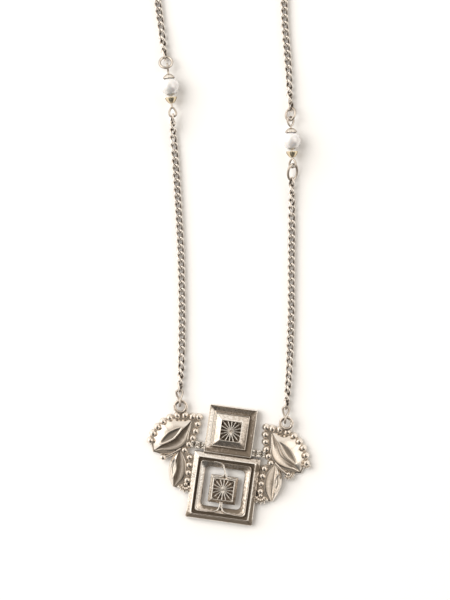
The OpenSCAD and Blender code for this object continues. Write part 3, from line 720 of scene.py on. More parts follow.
def hollow_of(points):
    """From -1 on what stands proud to 1 in the deepest hollows: the depth below the near mean in
    fine grooves, plus the depth below the wide mean in coves and crevices."""
    cells = np.clip(((points[:, :2] - corner) / MAP_CELL).astype(int), 0, size - 1)
    near = near_height[cells[:, 0], cells[:, 1]] - points[:, 2]
    wide = wide_height[cells[:, 0], cells[:, 1]] - points[:, 2]
    return np.clip(near / GROOVE + wide / COVE, -1, 1)


print("relief map:", relief.shape, "highest", round(float(relief.max()), 2), "mm")

# %% [markdown]
# ## Rings and long links
# Jump rings are wire wound on a rod and cut, so each is left open by a hair at its cut. The long
# links are soldered ovals, twisted so that they stand upright in the wing loops and lie nearly
# flat where the chain begins. A torus would be round and closed, so each is round wire carried
# along its own line.

# %% Rings and long links
def placed(shape, x, y, z, turn=0.0, tip=0.0, roll=0.0):
    """A shape rolled about Y, tipped about X, turned about Z and set down."""
    return turned(turned(turned(shape[0], y=roll), x=tip), z=turn) + [x, y, z], shape[1]


def jump_ring(x, y, z, wide, long, turn, tip, roll, thick=0.7):
    """Oval wire, open by four degrees where it was cut, at its far end."""
    shape = wire(oval(wide - thick, long - thick, 44, gap=0.035), thick, 12, ring=False)
    return placed(shape, x, y, z, turn, tip, roll)


UPRIGHT, NEARLY_FLAT = 88, 15


def long_link(x, y, long, turn, z_loop, z_chain, thick=0.6, half_wide=0.96):
    """Oval wire with round ends and nearly straight sides. From the wing loop to the chain, its
    plane turns from upright to nearly flat, and its middle line goes from one height to the other."""
    half = long / 2 - thick / 2
    angle = np.linspace(0, 2 * np.pi, 48, endpoint=False)
    y_at = (half - half_wide) * np.clip(3 * np.cos(angle), -1, 1) + half_wide * np.cos(angle)
    share = np.clip(0.3 + y_at / half, 0, 1)
    plane = np.radians(UPRIGHT + (NEARLY_FLAT - UPRIGHT) * share)
    path = np.stack([half_wide * np.sin(angle) * np.cos(plane), y_at,
                     z_loop + (z_chain - z_loop) * share + half_wide * np.sin(angle) * np.sin(plane)], -1)
    return placed(wire(path, thick, 12), x, y, 0, turn)


wires = {
    "ring_left_upper": jump_ring(-16.8, 22.1, 1.85, 4.1, 4.1, 8, -24, 0),
    "ring_right_upper": jump_ring(17.35, 7.9, 1.9, 3.7, 4.3, 3, -25, -36),
    "ring_right_lower": jump_ring(17.9, -8, 1.9, 3.9, 5.2, -2, 20, 38),
    "link_left": long_link(-13.05, -69.85, 5, 2, 1.4, 1.2),
    "link_right": long_link(16, -74.45, 5, -5, 1.9, 1.2),
}
print("rings and links:", {k: len(v[0]) for k, v in wires.items()})

# %% [markdown]
# ## Pins and caps
# Each pearl sits on a straight wire pin with an eye turned at both ends, between two saucers of
# thin sheet. The upper saucer sits close to the pearl and the lower one, of a yellower metal, has
# slid away from it. Spin and Screw turn such forms too, but the flutes would need another step.
# Here a pin is a bar between two wires, and a cap is a profile turned about the pin with its
# radius rippled.

# %% Pins and caps
# Middle on the paper and turn of the pin.
PEARLS = {"left": (-15.7, 15.35, 6.2), "right": (17.6, 0.55, 2.7)}
PEARL_R = 2.5
PIN = 0.56


def pin_eye(at_y, wide, long, roll):
    """An egg-shaped eye: an oval whose width shrinks by a cosine, so that it is slimmer next to
    the pearl."""
    angle = np.linspace(0, 2 * np.pi, 40, endpoint=False)
    egg = 1 - 0.3 * np.cos(angle)
    across, along = (wide - PIN) / 2 * np.sin(angle) * egg, (long - PIN) / 2 * np.cos(angle)
    path = np.stack([across, along, 0 * angle], -1)
    shape = wire(path, PIN, 10)
    points = turned(shape[0], z=180 if at_y > 0 else 0)
    return turned(points, y=roll) + [0, at_y, 0], shape[1]


def pin(upper, lower):
    """Both eyes, each (middle, width, length, roll), and the straight wire between them, along Y
    through the pearl's middle."""
    top, low = upper[0] - upper[2] / 2 + PIN / 2, lower[0] + lower[2] / 2 - PIN / 2
    y = np.linspace(low, top, 24)
    angle = np.linspace(0, 2 * np.pi, 12, endpoint=False)
    section = PIN / 2 * np.stack([np.sin(angle), np.cos(angle)], -1)
    shank = bar(np.stack([0 * y, y, 0 * y], -1), section[::-1])
    return joined(shank, pin_eye(*upper), pin_eye(*lower))


def cap(way, depth, gap, wall=0.28, rim=1.65, hole=0.45):
    """A saucer of thin sheet turned about the pin, with twelve faint flutes and its hollow side to
    the pearl. Along the pin, the inner edge of its rim stands off the pearl by the gap."""
    crown = depth - wall
    profile = np.array([(hole, crown), (hole, depth), (.45 * rim, .96 * depth), (.85 * rim, .45 * depth),
                        (rim, 0), (rim - wall, 0), (.72 * rim, .36 * depth), (.4 * rim, .92 * crown)])
    profile = cut_corners(profile, 2, ring=True)
    shape = grid(lathe(profile, 60, 12, 0.02), ring_rows=True, ring_cols=True)
    seat = np.sqrt(PEARL_R**2 - (rim - wall) ** 2) + gap
    return turned(shape[0], x=-90 * way) + [0, way * seat, 0], shape[1]


def at_pearl(side, shape):
    """A shape drawn round the pearl's middle, set down beside its pearl."""
    x, y, turn = PEARLS[side]
    return placed(shape, x, y, PEARL_R, turn)


wires["pin_left"] = at_pearl("left", pin((5.35, 2.3, 2.5, 90), (-7, 2.4, 3.1, 0)))
wires["pin_right"] = at_pearl("right", pin((5.3, 2.5, 3.1, 32), (-6.1, 2.5, 2.9, -32)))
CAPS = {"upper": (1, 1.2, .22), "lower": (-1, 1.65, .82)}
caps = {f"cap_{side}_{end}": at_pearl(side, cap(*CAPS[end])) for side in PEARLS for end in CAPS}
print("pins and caps:", len(caps) + 2)

# %% [markdown]
# ## Curb chain
# A curb link is an oval that has been twisted, so that the chain lies flat. Array and Curve
# modifiers would bend the links with the line, and rigid links only turn, so every link is placed
# whole. Its middle line is a cosine along the chain, a sine across it and a sine of twice the
# angle upwards, and at a fixed pitch each link hooks into the next.
#
# The first and last links are rolled past standing on edge, because they pass round the wire that
# they hang on. The links next to them roll back step by step, some thirty degrees at most from
# one to the next, so that hooked neighbours hardly overlap. A link that would sink into the paper
# is lifted until it rests on it.

# %% Where the links go
PITCH = 2.0
REST = 0.8


def link_places(route):
    """Even places along the route, one to a pitch, with the directions along, across and up."""
    mid = spline(route, 800)
    run = np.concatenate([[0], np.cumsum(np.linalg.norm(np.diff(mid, axis=0), axis=1))])
    stops = np.linspace(0, run[-1], int(round(run[-1] / PITCH)) + 1)
    at = np.stack([np.interp(stops, run, mid[:, k]) for k in range(3)], -1)
    along = unit(np.gradient(at, axis=0))
    across = unit(np.cross(along, [0, 0, 1]))
    return at, along, across, np.cross(across, along), stops[1]


def rolled(across, up, roll_start, roll_end):
    """Across and up turned about the route: by the given degrees at both ends, and between them
    by up to four degrees this way and that, as loose links lie."""
    number = np.arange(len(across))
    roll = np.zeros(len(number)) + 4 * np.sin(1.7 * number) * np.cos(0.6 * number)
    roll[:len(roll_start)] = roll_start
    roll[-len(roll_end):] = roll_end[::-1]
    angle = np.radians(roll)[:, None]
    return across * np.cos(angle) + up * np.sin(angle), up * np.cos(angle) - across * np.sin(angle)


# Points of each route along the middle of the chain, then the rolls from the start inwards and
# from the end inwards.
ROUTES = {
    "chain_left_front": (
        [(-13, -67.09, .95), (-12.7, -62.4, .85), (-12.5, -53.4, REST), (-12.5, -42.4, REST),
         (-12.8, -29.4, REST), (-13.5, -16.4, REST), (-14.4, -2.4, REST), (-14.8, 2.2, .85),
         (-14.84, 6.52, 2.38)],
        (111, 80, 60, 40, 20), (-106, -76, -54, -34, -16)),
    "chain_right_front": (
        [(16.23, -71.68, .95), (16.6, -67.4, .92), (17.1, -59.4, REST), (17.5, -47.4, REST),
         (17.6, -34.4, REST), (17.7, -23.4, REST), (17.75, -14.9, .8), (17.73, -10.71, .95)],
        (115, 80, 60, 44, 40, 28, 14), (-121, -90, -68, -48, -30, -12)),
    "chain_left_back": (
        [(-17.16, 24.14, .95), (-17.7, 28.1, .8), (-18.4, 33.6, REST), (-19.8, 44.6, REST),
         (-21.3, 57.6, REST), (-21.85, 70.6, REST), (-19.7, 83.6, REST), (-14.1, 95.1, REST),
         (-9.4, 100.8, .8), (-7.27, 102.79, 1.15)],
        (102, 74, 52, 34, 16), (-107, -82, -58, -36, -14)),
    "chain_right_back": (
        [(17.34, 10.16, .95), (17.1, 14.1, .8), (16.7, 21.6, REST), (15.8, 33.6, REST),
         (15.7, 45.6, REST), (16.8, 58.6, REST), (17.6, 71.6, REST), (15.6, 84.6, REST),
         (9.4, 95.8, REST), (4.5, 101, .8), (2.39, 102.9, 1.31)],
        (126, 98, 72, 50, 32, 15), (-106, -82, -58, -36, -14)),
}
print("places for links:", {name: len(link_places(spec[0])[0]) for name, spec in ROUTES.items()})

# %% The links
LINK_WIRE = 0.66
LINK_PLAY = 0.03
LINK_STEPS, WIRE_SIDES = 14, 6
# Half width and rise of a link, and of the first and last ones, which are wider and less twisted.
LINK_FORM, END_FORM = (0.77, 0.45), (0.85, 0.18)


def curb_links(route, roll_start, roll_end):
    """All links of one length of chain as one shape, and how far each point lies in a crook.
    A link's wire is a small circle carried round its middle line. The crook is deepest where the
    wire looks inwards and where it dips."""
    at, along, across, up, pitch = link_places(route)
    across, up = rolled(across, up, roll_start, roll_end)
    form = np.tile(LINK_FORM, (len(at), 1))
    form[[0, -1]] = END_FORM
    wide, rise = form[:, :1], form[:, 1:]
    half = (pitch + LINK_WIRE) / 2 + LINK_PLAY
    angle = np.linspace(0, 2 * np.pi, LINK_STEPS, endpoint=False)
    oval_line = (along[:, None] * (half * np.cos(angle))[:, None]
                 + across[:, None] * (wide * np.sin(angle))[..., None]
                 + up[:, None] * (rise * np.sin(2 * angle))[..., None])
    at[:, 2] = np.maximum(at[:, 2], LINK_WIRE / 2 - oval_line[..., 2].min(1))
    path = at[:, None] + oval_line
    way = unit(np.roll(path, -1, 1) - np.roll(path, 1, 1))
    outwards = unit(oval_line - (oval_line * way).sum(-1, keepdims=True) * way)
    upwards = np.cross(outwards, way)
    side = np.linspace(0, 2 * np.pi, WIRE_SIDES, endpoint=False)
    circle = outwards[:, :, None] * np.cos(side)[:, None] + upwards[:, :, None] * np.sin(side)[:, None]
    points = path[:, :, None] + LINK_WIRE / 2 * circle
    one = grid(points[0], ring_rows=True, ring_cols=True)[1][0]
    starts = np.arange(len(at)) * LINK_STEPS * WIRE_SIDES
    faces = (one[None] + starts[:, None, None]).reshape(-1, 4)
    inwards, dips = -0.9 * np.cos(side), 0.7 * np.sin(2 * angle)[:, None]
    crook = np.broadcast_to(inwards - dips, points.shape[:3]).ravel()
    return (points.reshape(-1, 3), [faces]), crook


chains = {name: curb_links(*spec) for name, spec in ROUTES.items()}
print("points in links:", {name: len(shape[0]) for name, (shape, crook) in chains.items()})

# %% [markdown]
# ## Clasp
# The photograph ends below the clasp, so this one is plain: a barrel with a seam in the middle, a
# turned band near each end and two eyes. Its outline is turned about its own length, as the real
# one is turned on a lathe.

# %% Clasp
CLASP_AT = (-2.4, 103.8, 1.2)
barrel_profile = cut_corners(np.array([
    (.35, -3), (.8, -3), (1.0, -2.95), (1.16, -2.8), (1.2, -2.6), (1.2, -2.2), (1.12, -2.1), (1.12, -1.95),
    (1.2, -1.85), (1.2, -.1), (1.17, -.05), (1.12, 0), (1.17, .05), (1.2, .1), (1.2, 1.85), (1.12, 1.95),
    (1.12, 2.1), (1.2, 2.2), (1.2, 2.6), (1.16, 2.8), (1.0, 2.95), (.8, 3), (.35, 3)]), 1)
barrel = grid(lathe(barrel_profile, 48), ring_cols=True, ends=True)
barrel = (turned(barrel[0], y=90), barrel[1])
EYE_MIDDLE, EYE_WIRE, EYE_AT = 1.6, 0.56, 3.8
eyes = repeated(wire(oval(EYE_MIDDLE, EYE_MIDDLE, 32), EYE_WIRE, 10), [(-EYE_AT, 0, 0), (EYE_AT, 0, 0)])
wires["clasp"] = placed(joined(barrel, eyes), *CLASP_AT)
print("clasp:", len(wires["clasp"][0]), "points")

# %% [markdown]
# ## Finishes
# The casting, the wire and the brass-toned caps share two effects. The first is patina that follows
# the hollows in uneven clouds, along with the painted shade and highlights that the hollow numbers
# carry. The second is the grain and fine scratches of the surface. Each is a node group, built once
# and placed in every metal with its own values. Painted images would need more memory and would
# show their dots close up.

# %% Node helpers
def node(tree, kind, at, **settings):
    """A node with plain settings and input values, placed for reading."""
    made = tree.nodes.new(kind)
    made.location = (at[0] * 200, at[1] * 200)
    for key, value in settings.items():
        if key in made.inputs:
            made.inputs[key].default_value = value
        else:
            setattr(made, key, value)
    return made


def group(name, takes, gives):
    """An empty node group of numbers: its inputs, each with a start value, and its outputs."""
    tree = bpy.data.node_groups.new(name, "ShaderNodeTree")
    for key, value in takes.items():
        taken = tree.interface.new_socket(key, in_out="INPUT", socket_type="NodeSocketFloat")
        taken.default_value = value
    for key in gives:
        tree.interface.new_socket(key, in_out="OUTPUT", socket_type="NodeSocketFloat")
    return tree, node(tree, "NodeGroupInput", (-5, 0)), node(tree, "NodeGroupOutput", (5, 0))


def place(tree, made, at, **values):
    """The group as a node of a material, with its values."""
    shown = node(tree, "ShaderNodeGroup", at)
    shown.node_tree = made
    for key, value in values.items():
        shown.inputs[key].default_value = value
    return shown


print("node helpers are ready")

# %% [markdown]
# ## Patina in the hollows
# The dark skin on old silver-toned metal isn't even. The group takes the hollow number of the
# surface, which on some parts carries painted shade and painted highlights as well, and adds cloudy
# noise, times the breakup. Where the sum rises towards the reach, it puts out patina together with
# that painted shade. Where it falls below nought, it puts out what is rubbed bright together with
# those painted highlights.

# %% Group: patina in the hollows
patina_group, g_in, g_out = group(
    "Patina and painted shade", {"Hollow": 0.0, "Scale": 900.0, "Reach": 0.5, "Breakup": 0.5}, ("Patina and painted shade", "Rubbed and painted highlight"))
links = patina_group.links
spot = node(patina_group, "ShaderNodeTexCoord", (-5, -2))
patches = node(patina_group, "ShaderNodeTexNoise", (-4, -2), Detail=6.0, Roughness=0.65)
links.new(spot.outputs["Object"], patches.inputs["Vector"])
links.new(g_in.outputs["Scale"], patches.inputs["Scale"])
centred = node(patina_group, "ShaderNodeMath", (-3, -2), operation="SUBTRACT")
centred.inputs[1].default_value = 0.5
links.new(patches.outputs["Fac"], centred.inputs[0])
broken = node(patina_group, "ShaderNodeMath", (-2, -1), operation="MULTIPLY_ADD")
links.new(centred.outputs[0], broken.inputs[0])
links.new(g_in.outputs["Breakup"], broken.inputs[1])
links.new(g_in.outputs["Hollow"], broken.inputs[2])
deep = node(patina_group, "ShaderNodeMapRange", (0, 1), interpolation_type="SMOOTHSTEP")
deep.inputs["From Min"].default_value = -0.05
links.new(broken.outputs[0], deep.inputs["Value"])
links.new(g_in.outputs["Reach"], deep.inputs["From Max"])
proud = node(patina_group, "ShaderNodeMapRange", (0, -1), interpolation_type="SMOOTHSTEP")
proud.inputs["From Min"].default_value = -0.05
proud.inputs["From Max"].default_value = -0.7
links.new(broken.outputs[0], proud.inputs["Value"])
links.new(deep.outputs[0], g_out.inputs["Patina and painted shade"])
links.new(proud.outputs[0], g_out.inputs["Rubbed and painted highlight"])
print("group:", patina_group.name)

# %% [markdown]
# ## Grain and scratches
# A cast surface is finely pitted, and wear draws hair-fine scratches over it. Both are noise on
# the piece's own coordinates. For the scratches, a Mapping node turns the noise and stretches it
# into strokes. Their sum is a height for a Bump node, because grain so fine needs no real relief.

# %% Group: cast grain and fine scratches
grain_group, g_in, g_out = group("Cast grain", {"Grain": 2600.0, "Scratches": 0.35}, ("Height", "Sheen"))
links = grain_group.links
spot = node(grain_group, "ShaderNodeTexCoord", (-5, -2))
pits = node(grain_group, "ShaderNodeTexNoise", (-3, 1), Detail=5.0, Roughness=0.6)
links.new(spot.outputs["Object"], pits.inputs["Vector"])
links.new(g_in.outputs["Grain"], pits.inputs["Scale"])
stretch = node(grain_group, "ShaderNodeMapping", (-4, -1))
stretch.inputs["Scale"].default_value = (0.12, 1.0, 1.0)
stretch.inputs["Rotation"].default_value = (0.0, 0.0, 0.6)
links.new(spot.outputs["Object"], stretch.inputs["Vector"])
lines = node(grain_group, "ShaderNodeTexNoise", (-3, -1), Scale=9000.0, Detail=2.0)
links.new(stretch.outputs["Vector"], lines.inputs["Vector"])
both = node(grain_group, "ShaderNodeMath", (-1, 0), operation="MULTIPLY_ADD")
links.new(lines.outputs["Fac"], both.inputs[0])
links.new(g_in.outputs["Scratches"], both.inputs[1])
links.new(pits.outputs["Fac"], both.inputs[2])
links.new(both.outputs[0], g_out.inputs["Height"])
links.new(pits.outputs["Fac"], g_out.inputs["Sheen"])
print("group:", grain_group.name)

# %% [markdown]
# ## Metals
# One function makes all five metals, since they differ only in tone and in how far the patina
# reaches: the pendant's frames, the more worn wings, the bright wire of rings and pins, the wire
# of the chain, and the yellower sheet of the lower caps.

# %% Metals
# A Mix node has sockets for every kind of data; these are the numbers of those for colours.
MIX_A, MIX_B, MIX_OUT = 6, 7, 2


def metal(name, bright, dull, dark, rough, reach, breakup, bump, grain=2600.0, patch=900.0):
    """Metal whose colour is mixed twice: the dull tone with the bright one by how rubbed it is,
    painted highlights included, and the result with the dark one by its patina, painted shade
    included. Roughness runs between the two numbers of rough with the patina and the grain, and
    patina makes it less metallic."""
    made = bpy.data.materials.new(name)
    made.use_nodes = True
    tree = made.node_tree
    shader = tree.nodes["Principled BSDF"]
    hollow = node(tree, "ShaderNodeAttribute", (-6, 0), attribute_name="hollow")
    patina_and_shade = place(tree, patina_group, (-4, 0), Scale=patch, Reach=reach, Breakup=breakup)
    grainy = place(tree, grain_group, (-4, -2), Grain=grain)
    tree.links.new(hollow.outputs["Fac"], patina_and_shade.inputs["Hollow"])
    worn = node(tree, "ShaderNodeMix", (-3, 1), data_type="RGBA")
    worn.inputs[MIX_A].default_value = (*dull, 1)
    worn.inputs[MIX_B].default_value = (*bright, 1)
    tree.links.new(patina_and_shade.outputs["Rubbed and painted highlight"], worn.inputs["Factor"])
    aged = node(tree, "ShaderNodeMix", (-2, 1), data_type="RGBA")
    aged.inputs[MIX_B].default_value = (*dark, 1)
    tree.links.new(patina_and_shade.outputs["Patina and painted shade"], aged.inputs["Factor"])
    tree.links.new(worn.outputs[MIX_OUT], aged.inputs[MIX_A])
    tree.links.new(aged.outputs[MIX_OUT], shader.inputs["Base Color"])
    gloss = node(tree, "ShaderNodeMapRange", (-2, -1))
    gloss.inputs["To Min"].default_value, gloss.inputs["To Max"].default_value = rough
    soft = node(tree, "ShaderNodeMath", (-3, -1), operation="MULTIPLY_ADD")
    soft.inputs[1].default_value = 0.45
    tree.links.new(grainy.outputs["Sheen"], soft.inputs[0])
    tree.links.new(patina_and_shade.outputs["Patina and painted shade"], soft.inputs[2])
    tree.links.new(soft.outputs[0], gloss.inputs["Value"])
    tree.links.new(gloss.outputs[0], shader.inputs["Roughness"])
    bare = node(tree, "ShaderNodeMapRange", (-2, 0))
    bare.inputs["To Min"].default_value, bare.inputs["To Max"].default_value = 1.0, 0.55
    tree.links.new(patina_and_shade.outputs["Patina and painted shade"], bare.inputs["Value"])
    tree.links.new(bare.outputs[0], shader.inputs["Metallic"])
    lifted = node(tree, "ShaderNodeBump", (-2, -3), Strength=bump, Distance=0.00003)
    tree.links.new(grainy.outputs["Height"], lifted.inputs["Height"])
    tree.links.new(lifted.outputs["Normal"], shader.inputs["Normal"])
    print("metal:", name)
    return made


antiqued = metal(
    "Antiqued casting", (1, .96, .9), (.74, .66, .58), (.2, .16, .12), (.1, .42),
    reach=.7, breakup=2.4, bump=1.6, patch=1700.0)
worn_casting = metal(
    "Worn casting", (.99, .95, .89), (.88, .81, .73), (.19, .15, .11), (.08, .42),
    reach=.95, breakup=.5, bump=.4)
bright_wire = metal(
    "Bright wire", (.92, .87, .8), (.56, .49, .42), (.14, .11, .085), (.06, .45),
    reach=.8, breakup=.7, bump=.25)
chain_wire = metal(
    "Curb chain wire", (1, .94, .87), (.7, .62, .54), (.08, .06, .045), (.1, .5),
    reach=.6, breakup=.4, bump=.3)
brass_cap = metal(
    "Brass-toned cap", (.9, .8, .6), (.72, .6, .41), (.2, .15, .09), (.16, .55),
    reach=.9, breakup=.6, bump=.4)

# %% [markdown]
# ## Pearl and crystal
# The pearls are white and softly bright. Light sinks a little into their body and shines off a
# clear coat, so the shader's own subsurface and coat do the work, and noise only tints and dents
# it faintly. The crystals are clear cut glass, which shows what lies round and under it. Both
# finishes go on the solids themselves, whose shapes are right already.

# %% Pearl
def pearl_lustre():
    """White pearl: a soft body under a clear coat, in two near whites mixed by cloudy noise."""
    made = bpy.data.materials.new("Pearl lustre")
    made.use_nodes = True
    tree = made.node_tree
    shader = tree.nodes["Principled BSDF"]
    spot = node(tree, "ShaderNodeTexCoord", (-6, 0))
    clouds = node(tree, "ShaderNodeTexNoise", (-5, 0), Scale=420.0, Detail=3.0)
    tree.links.new(spot.outputs["Object"], clouds.inputs["Vector"])
    tint = node(tree, "ShaderNodeMix", (-3, 0), data_type="RGBA")
    tint.inputs[MIX_A].default_value = (.82, .8, .79, 1)
    tint.inputs[MIX_B].default_value = (.88, .87, .86, 1)
    tree.links.new(clouds.outputs["Fac"], tint.inputs["Factor"])
    tree.links.new(tint.outputs[MIX_OUT], shader.inputs["Base Color"])
    shader.inputs["Roughness"].default_value = 0.2
    shader.inputs["Metallic"].default_value = 0.35
    shader.inputs["Subsurface Weight"].default_value = 0.25
    shader.inputs["Subsurface Radius"].default_value = (.0012, .001, .0008)
    shader.inputs["Sheen Weight"].default_value = 0.15
    shader.inputs["Coat Weight"].default_value = 0.6
    shader.inputs["Coat Roughness"].default_value = 0.06
    dimple = node(tree, "ShaderNodeTexNoise", (-5, -2), Scale=1500.0, Detail=2.0)
    tree.links.new(spot.outputs["Object"], dimple.inputs["Vector"])
    lifted = node(tree, "ShaderNodeBump", (-2, -2), Strength=0.12, Distance=0.00004)
    tree.links.new(dimple.outputs["Fac"], lifted.inputs["Height"])
    tree.links.new(lifted.outputs["Normal"], shader.inputs["Normal"])
    return made


pearl_finish = pearl_lustre()
print("finish:", pearl_finish.name)

# %% Crystal
def cut_crystal():
    """Clear cut glass, faintly warm, whose roughness follows noise like a breath of haze."""
    made = bpy.data.materials.new("Cut crystal")
    made.use_nodes = True
    tree = made.node_tree
    shader = tree.nodes["Principled BSDF"]
    shader.inputs["Base Color"].default_value = (.96, .93, .87, 1)
    shader.inputs["Transmission Weight"].default_value = 1.0
    shader.inputs["IOR"].default_value = 1.6
    spot = node(tree, "ShaderNodeTexCoord", (-5, 0))
    haze = node(tree, "ShaderNodeTexNoise", (-4, 0), Scale=2200.0, Detail=3.0)
    tree.links.new(spot.outputs["Object"], haze.inputs["Vector"])
    soft = node(tree, "ShaderNodeMapRange", (-2, 0))
    soft.inputs["To Min"].default_value, soft.inputs["To Max"].default_value = 0.0, 0.08
    tree.links.new(haze.outputs["Fac"], soft.inputs["Value"])
    tree.links.new(soft.outputs[0], shader.inputs["Roughness"])
    return made


crystal_finish = cut_crystal()
print("finish:", crystal_finish.name)

# %% [markdown]
# ## Putting the pieces on the frame
# Every new piece rides on the frame's one body and hides the solid that it stands for. Its shape
# goes into the mesh already in place, so that the object itself stays at the origin. The hollow
# numbers go in as an attribute of its points, which the patina group reads.

# %% A piece from a shape
def piece(name, shape, finish, stands_for, hollow, crease=38):
    """Mesh from a shape in millimetres, smooth except across edges sharper than crease degrees."""
    points, faces = shape
    mesh = bpy.data.meshes.new(name)
    mesh.from_pydata(points * MM, [], [f for block in faces for f in block.tolist()])
    mesh.polygons.foreach_set("use_smooth", np.ones(len(mesh.polygons), bool))
    mesh.set_sharp_from_angle(angle=np.radians(crease))
    values = mesh.attributes.new("hollow", "FLOAT", "POINT").data
    values.foreach_set("value", hollow.astype(np.float32))
    mesh.materials.append(finish)
    made = bpy.data.objects.new(name, mesh)
    bpy.context.scene.collection.objects.link(made)
    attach(made, "root")
    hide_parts(stands_for)


def flanks(shape, start=1.3):
    """The hollow number of round wire and beads: start minus twice the upward part of the point's
    normal, which paints a highlight where a surface faces up or down and painted shade on its
    flanks. The normal is the mean of those of its faces."""
    points, normals = shape[0], np.zeros_like(shape[0])
    for block in shape[1]:
        one_way = points[block[:, 2]] - points[block[:, 0]]
        other_way = points[block[:, -1]] - points[block[:, 1]]
        for k in range(block.shape[1]):
            np.add.at(normals, block[:, k], np.cross(one_way, other_way))
    lengths = np.maximum(np.linalg.norm(normals, axis=1), 1e-12)
    return np.clip(start - 2 * abs(normals[:, 2]) / lengths, -1, 1)


print("frame has", len(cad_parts), "solids")

# %% [markdown]
# ## The casting
# Frames, stars, leaves and cells bring their hollow numbers with them. Beads and loops get a
# painted highlight on top from their flanks, with a share of the map's hollows where that is more.
# The settings are dark at the foot and painted bright on top. Ribs take the map's number, and the
# plates a share of it, because the wings are rubbed more.

# %% The casting
BEAD_SHARE, PLATE_SHARE = 0.3, 0.35
SETTING_FOOT = 1.2
for name, shape in casting.items():
    wing = name.endswith(("left", "right"))
    if name == "settings":
        # flanks paints the tops of settings, beads and loops bright as a highlight.
        hollow = np.where(shape[0][:, 2] < SETTING_FOOT, 0.7, flanks(shape, -0.2))
    elif name.startswith(("beads", "wing_loops")):
        hollow = np.maximum(flanks(shape, -0.1), BEAD_SHARE * hollow_of(shape[0]))
    elif hollows[name] is None:
        hollow = (PLATE_SHARE if wing else 1) * hollow_of(shape[0])
    else:
        hollow = hollows[name]
    piece("cast_" + name, shape, worn_casting if wing else antiqued, "pendant", hollow)
print("cast pieces:", len(casting), "of", sum(len(shape[0]) for shape in casting.values()), "points")

# %% [markdown]
# ## Wire, caps and chain
# Wire is painted brighter where it faces up and darker at its sides, as painted highlight and
# painted shade. In the chain the crooks get painted shade too: they are the darkest places on it,
# and give each link one bright stroke.

# %% Wire, caps and chain
# flanks gives wire and caps a painted highlight on top and painted shade on their sides.
for name, shape in wires.items():
    piece(name + "_wire", shape, bright_wire, name, flanks(shape))
for name, shape in caps.items():
    low = name.endswith("lower")
    piece(name + "_sheet", shape, brass_cap if low else bright_wire, name,
          flanks(shape, 1.0))
# Painted shade on the links' flanks and in their crooks.
for name, (shape, crook) in chains.items():
    piece(name + "_links", shape, chain_wire, name,
          np.maximum(flanks(shape, -0.1), 1.7 * crook - 0.15), crease=180)
print("wires, caps and lengths of chain:", len(wires), len(caps), len(chains))

# %% Pearls and crystals
SOLID_FINISHES = {"pearl": pearl_finish, "crystal": crystal_finish}
for name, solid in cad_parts.items():
    kind = name.split("_")[0]
    if kind in SOLID_FINISHES:
        solid.data.materials.clear()
        solid.data.materials.append(SOLID_FINISHES[kind])
        print("finish on", name)

# %% [markdown]
# ## Paper
# The necklace lies on pale, matt paper. One large face is enough, a twentieth of a millimetre
# below the necklace, because two faces in one plane would flicker into each other.

# %% Paper
PAPER_HALF, PAPER_LEVEL = 1, -.00005
CORNERS = ((-1, -1), (1, -1), (1, 1), (-1, 1))
corner_points = [(x * PAPER_HALF, y * PAPER_HALF, PAPER_LEVEL) for x, y in CORNERS]
floor_mesh = bpy.data.meshes.new("paper")
floor_mesh.from_pydata(corner_points, [], [(0, 1, 2, 3)])
paper = bpy.data.objects.new("paper", floor_mesh)
bpy.context.scene.collection.objects.link(paper)
paper_finish = bpy.data.materials.new("Pale paper")
paper_finish.use_nodes = True
sheet_shader = paper_finish.node_tree.nodes["Principled BSDF"]
sheet_shader.inputs["Base Color"].default_value = (.98, .977, .967, 1)
sheet_shader.inputs["Roughness"].default_value = 0.85
sheet_shader.inputs["Specular IOR Level"].default_value = 0.2
floor_mesh.materials.append(paper_finish)
print("paper is down")

# %% [markdown]
# ## Light
# One far, even window at the upper left gives the soft shadows. Polished metal shows what stands
# round it, so the room is drawn too: a darker ceiling, a dark side beyond the lower edge of the
# picture, and a bright pane on the left and on the right. A picture of a room would do that as
# well, but a few directions with soft edges are enough, and each can be moved alone.

# %% Window
def soft_light(name, at, aim, wide, power, colour):
    """A square area light at a place, tipped and turned so that it looks at its aim."""
    data = bpy.data.lights.new(name, "AREA")
    data.shape, data.size, data.energy, data.color = "SQUARE", wide, power, colour
    lamp = bpy.data.objects.new(name, data)
    bpy.context.scene.collection.objects.link(lamp)
    way = np.array(aim, float) - at
    lamp.location = at
    tip = np.arccos(-way[2] / np.linalg.norm(way))
    lamp.rotation_euler = (tip, 0, np.arctan2(way[1], way[0]) - np.pi / 2)
    lamp.visible_glossy = False


soft_light("window", (-1.5, .62, 1.4), (0, -.05, 0), wide=2.0, power=42, colour=(1, .985, .97))

# %% Room
world = bpy.data.worlds.new("room")
bpy.context.scene.world = world
world.use_nodes = True
room = world.node_tree
sky_way = node(room, "ShaderNodeTexCoord", (-6, 0))


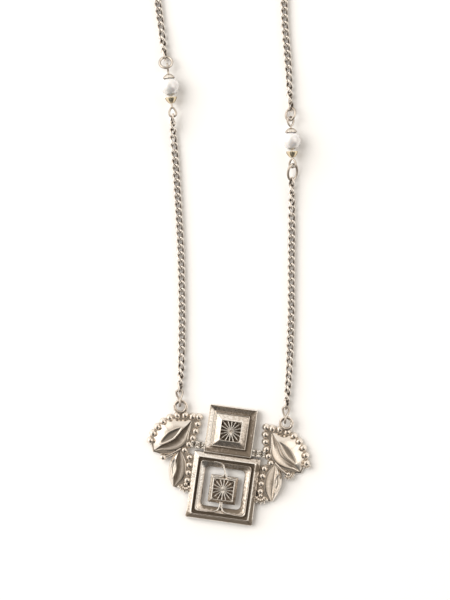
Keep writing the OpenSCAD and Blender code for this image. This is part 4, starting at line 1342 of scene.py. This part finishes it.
def side_of_room(row, direction, start, full, outside, inside):
    """A number for each direction of the room: outside, and inside once the direction's dot
    product with the given one is past full."""
    dot = node(room, "ShaderNodeVectorMath", (-5, row), operation="DOT_PRODUCT")
    dot.inputs[1].default_value = direction
    room.links.new(sky_way.outputs["Generated"], dot.inputs[0])
    near = node(room, "ShaderNodeMapRange", (-4, row), interpolation_type="SMOOTHSTEP")
    for key, value in (("From Min", start), ("From Max", full), ("To Min", outside), ("To Max", inside)):
        near.inputs[key].default_value = value
    room.links.new(dot.outputs["Value"], near.inputs["Value"])
    return near.outputs[0]


def combined(row, operation, first, second):
    """Two numbers of the room added or multiplied."""
    made = node(room, "ShaderNodeMath", (-2, row), operation=operation)
    room.links.new(first, made.inputs[0])
    room.links.new(second, made.inputs[1])
    return made.outputs[0]


ceiling = side_of_room(2, (0, 0, 1), .7, .97, .95, .3)
dark_side = side_of_room(1, (.2, -.8, .56), .55, .85, 1, .12)
left_pane = side_of_room(-1, (-.82, .33, .47), .8, .97, 0, .8)
right_pane = side_of_room(-2, (.6, .1, .79), .85, .97, 0, .55)
panes = combined(-1, "ADD", left_pane, right_pane)
walls = combined(1, "MULTIPLY", ceiling, dark_side)
room.links.new(combined(0, "ADD", walls, panes), room.nodes["Background"].inputs["Strength"])
print("the room has", len(room.nodes), "nodes")

# %% Warmth of the room
# The walls are faintly warm and the ceiling is warmer.
tone = node(room, "ShaderNodeMix", (-1, 2), data_type="RGBA")
tone.inputs[MIX_A].default_value = (1, .95, .89, 1)
tone.inputs[MIX_B].default_value = (1, .88, .75, 1)
room.links.new(side_of_room(3, (0, 0, 1), .7, .97, 0, 1), tone.inputs["Factor"])
room.links.new(tone.outputs[MIX_OUT], room.nodes["Background"].inputs["Color"])
bpy.context.scene.view_settings.view_transform = "Standard"
print("view transform:", bpy.context.scene.view_settings.view_transform)

# %% [markdown]
# ## Camera
# The picture is taken from straight above the pendant, from half a metre, so that nearly nothing
# leans outwards. The lens follows from the height of the stretch that the picture shows.

# %% Camera
# The larger side of the sensor in millimetres, then the camera's height and the height of the
# stretch that it shows, in metres.
SENSOR = 36
CAMERA_UP = 0.5
SHOWN_HEIGHT = 0.165
camera_data = bpy.data.cameras.new("above")
camera_data.lens = SENSOR * CAMERA_UP / SHOWN_HEIGHT
camera_data.clip_start = 0.01
camera = bpy.data.objects.new("above", camera_data)
camera.location = (-.0006, -.043, CAMERA_UP)
bpy.context.scene.collection.objects.link(camera)
bpy.context.scene.camera = camera
print("camera above the pendant, lens", round(camera_data.lens, 1))
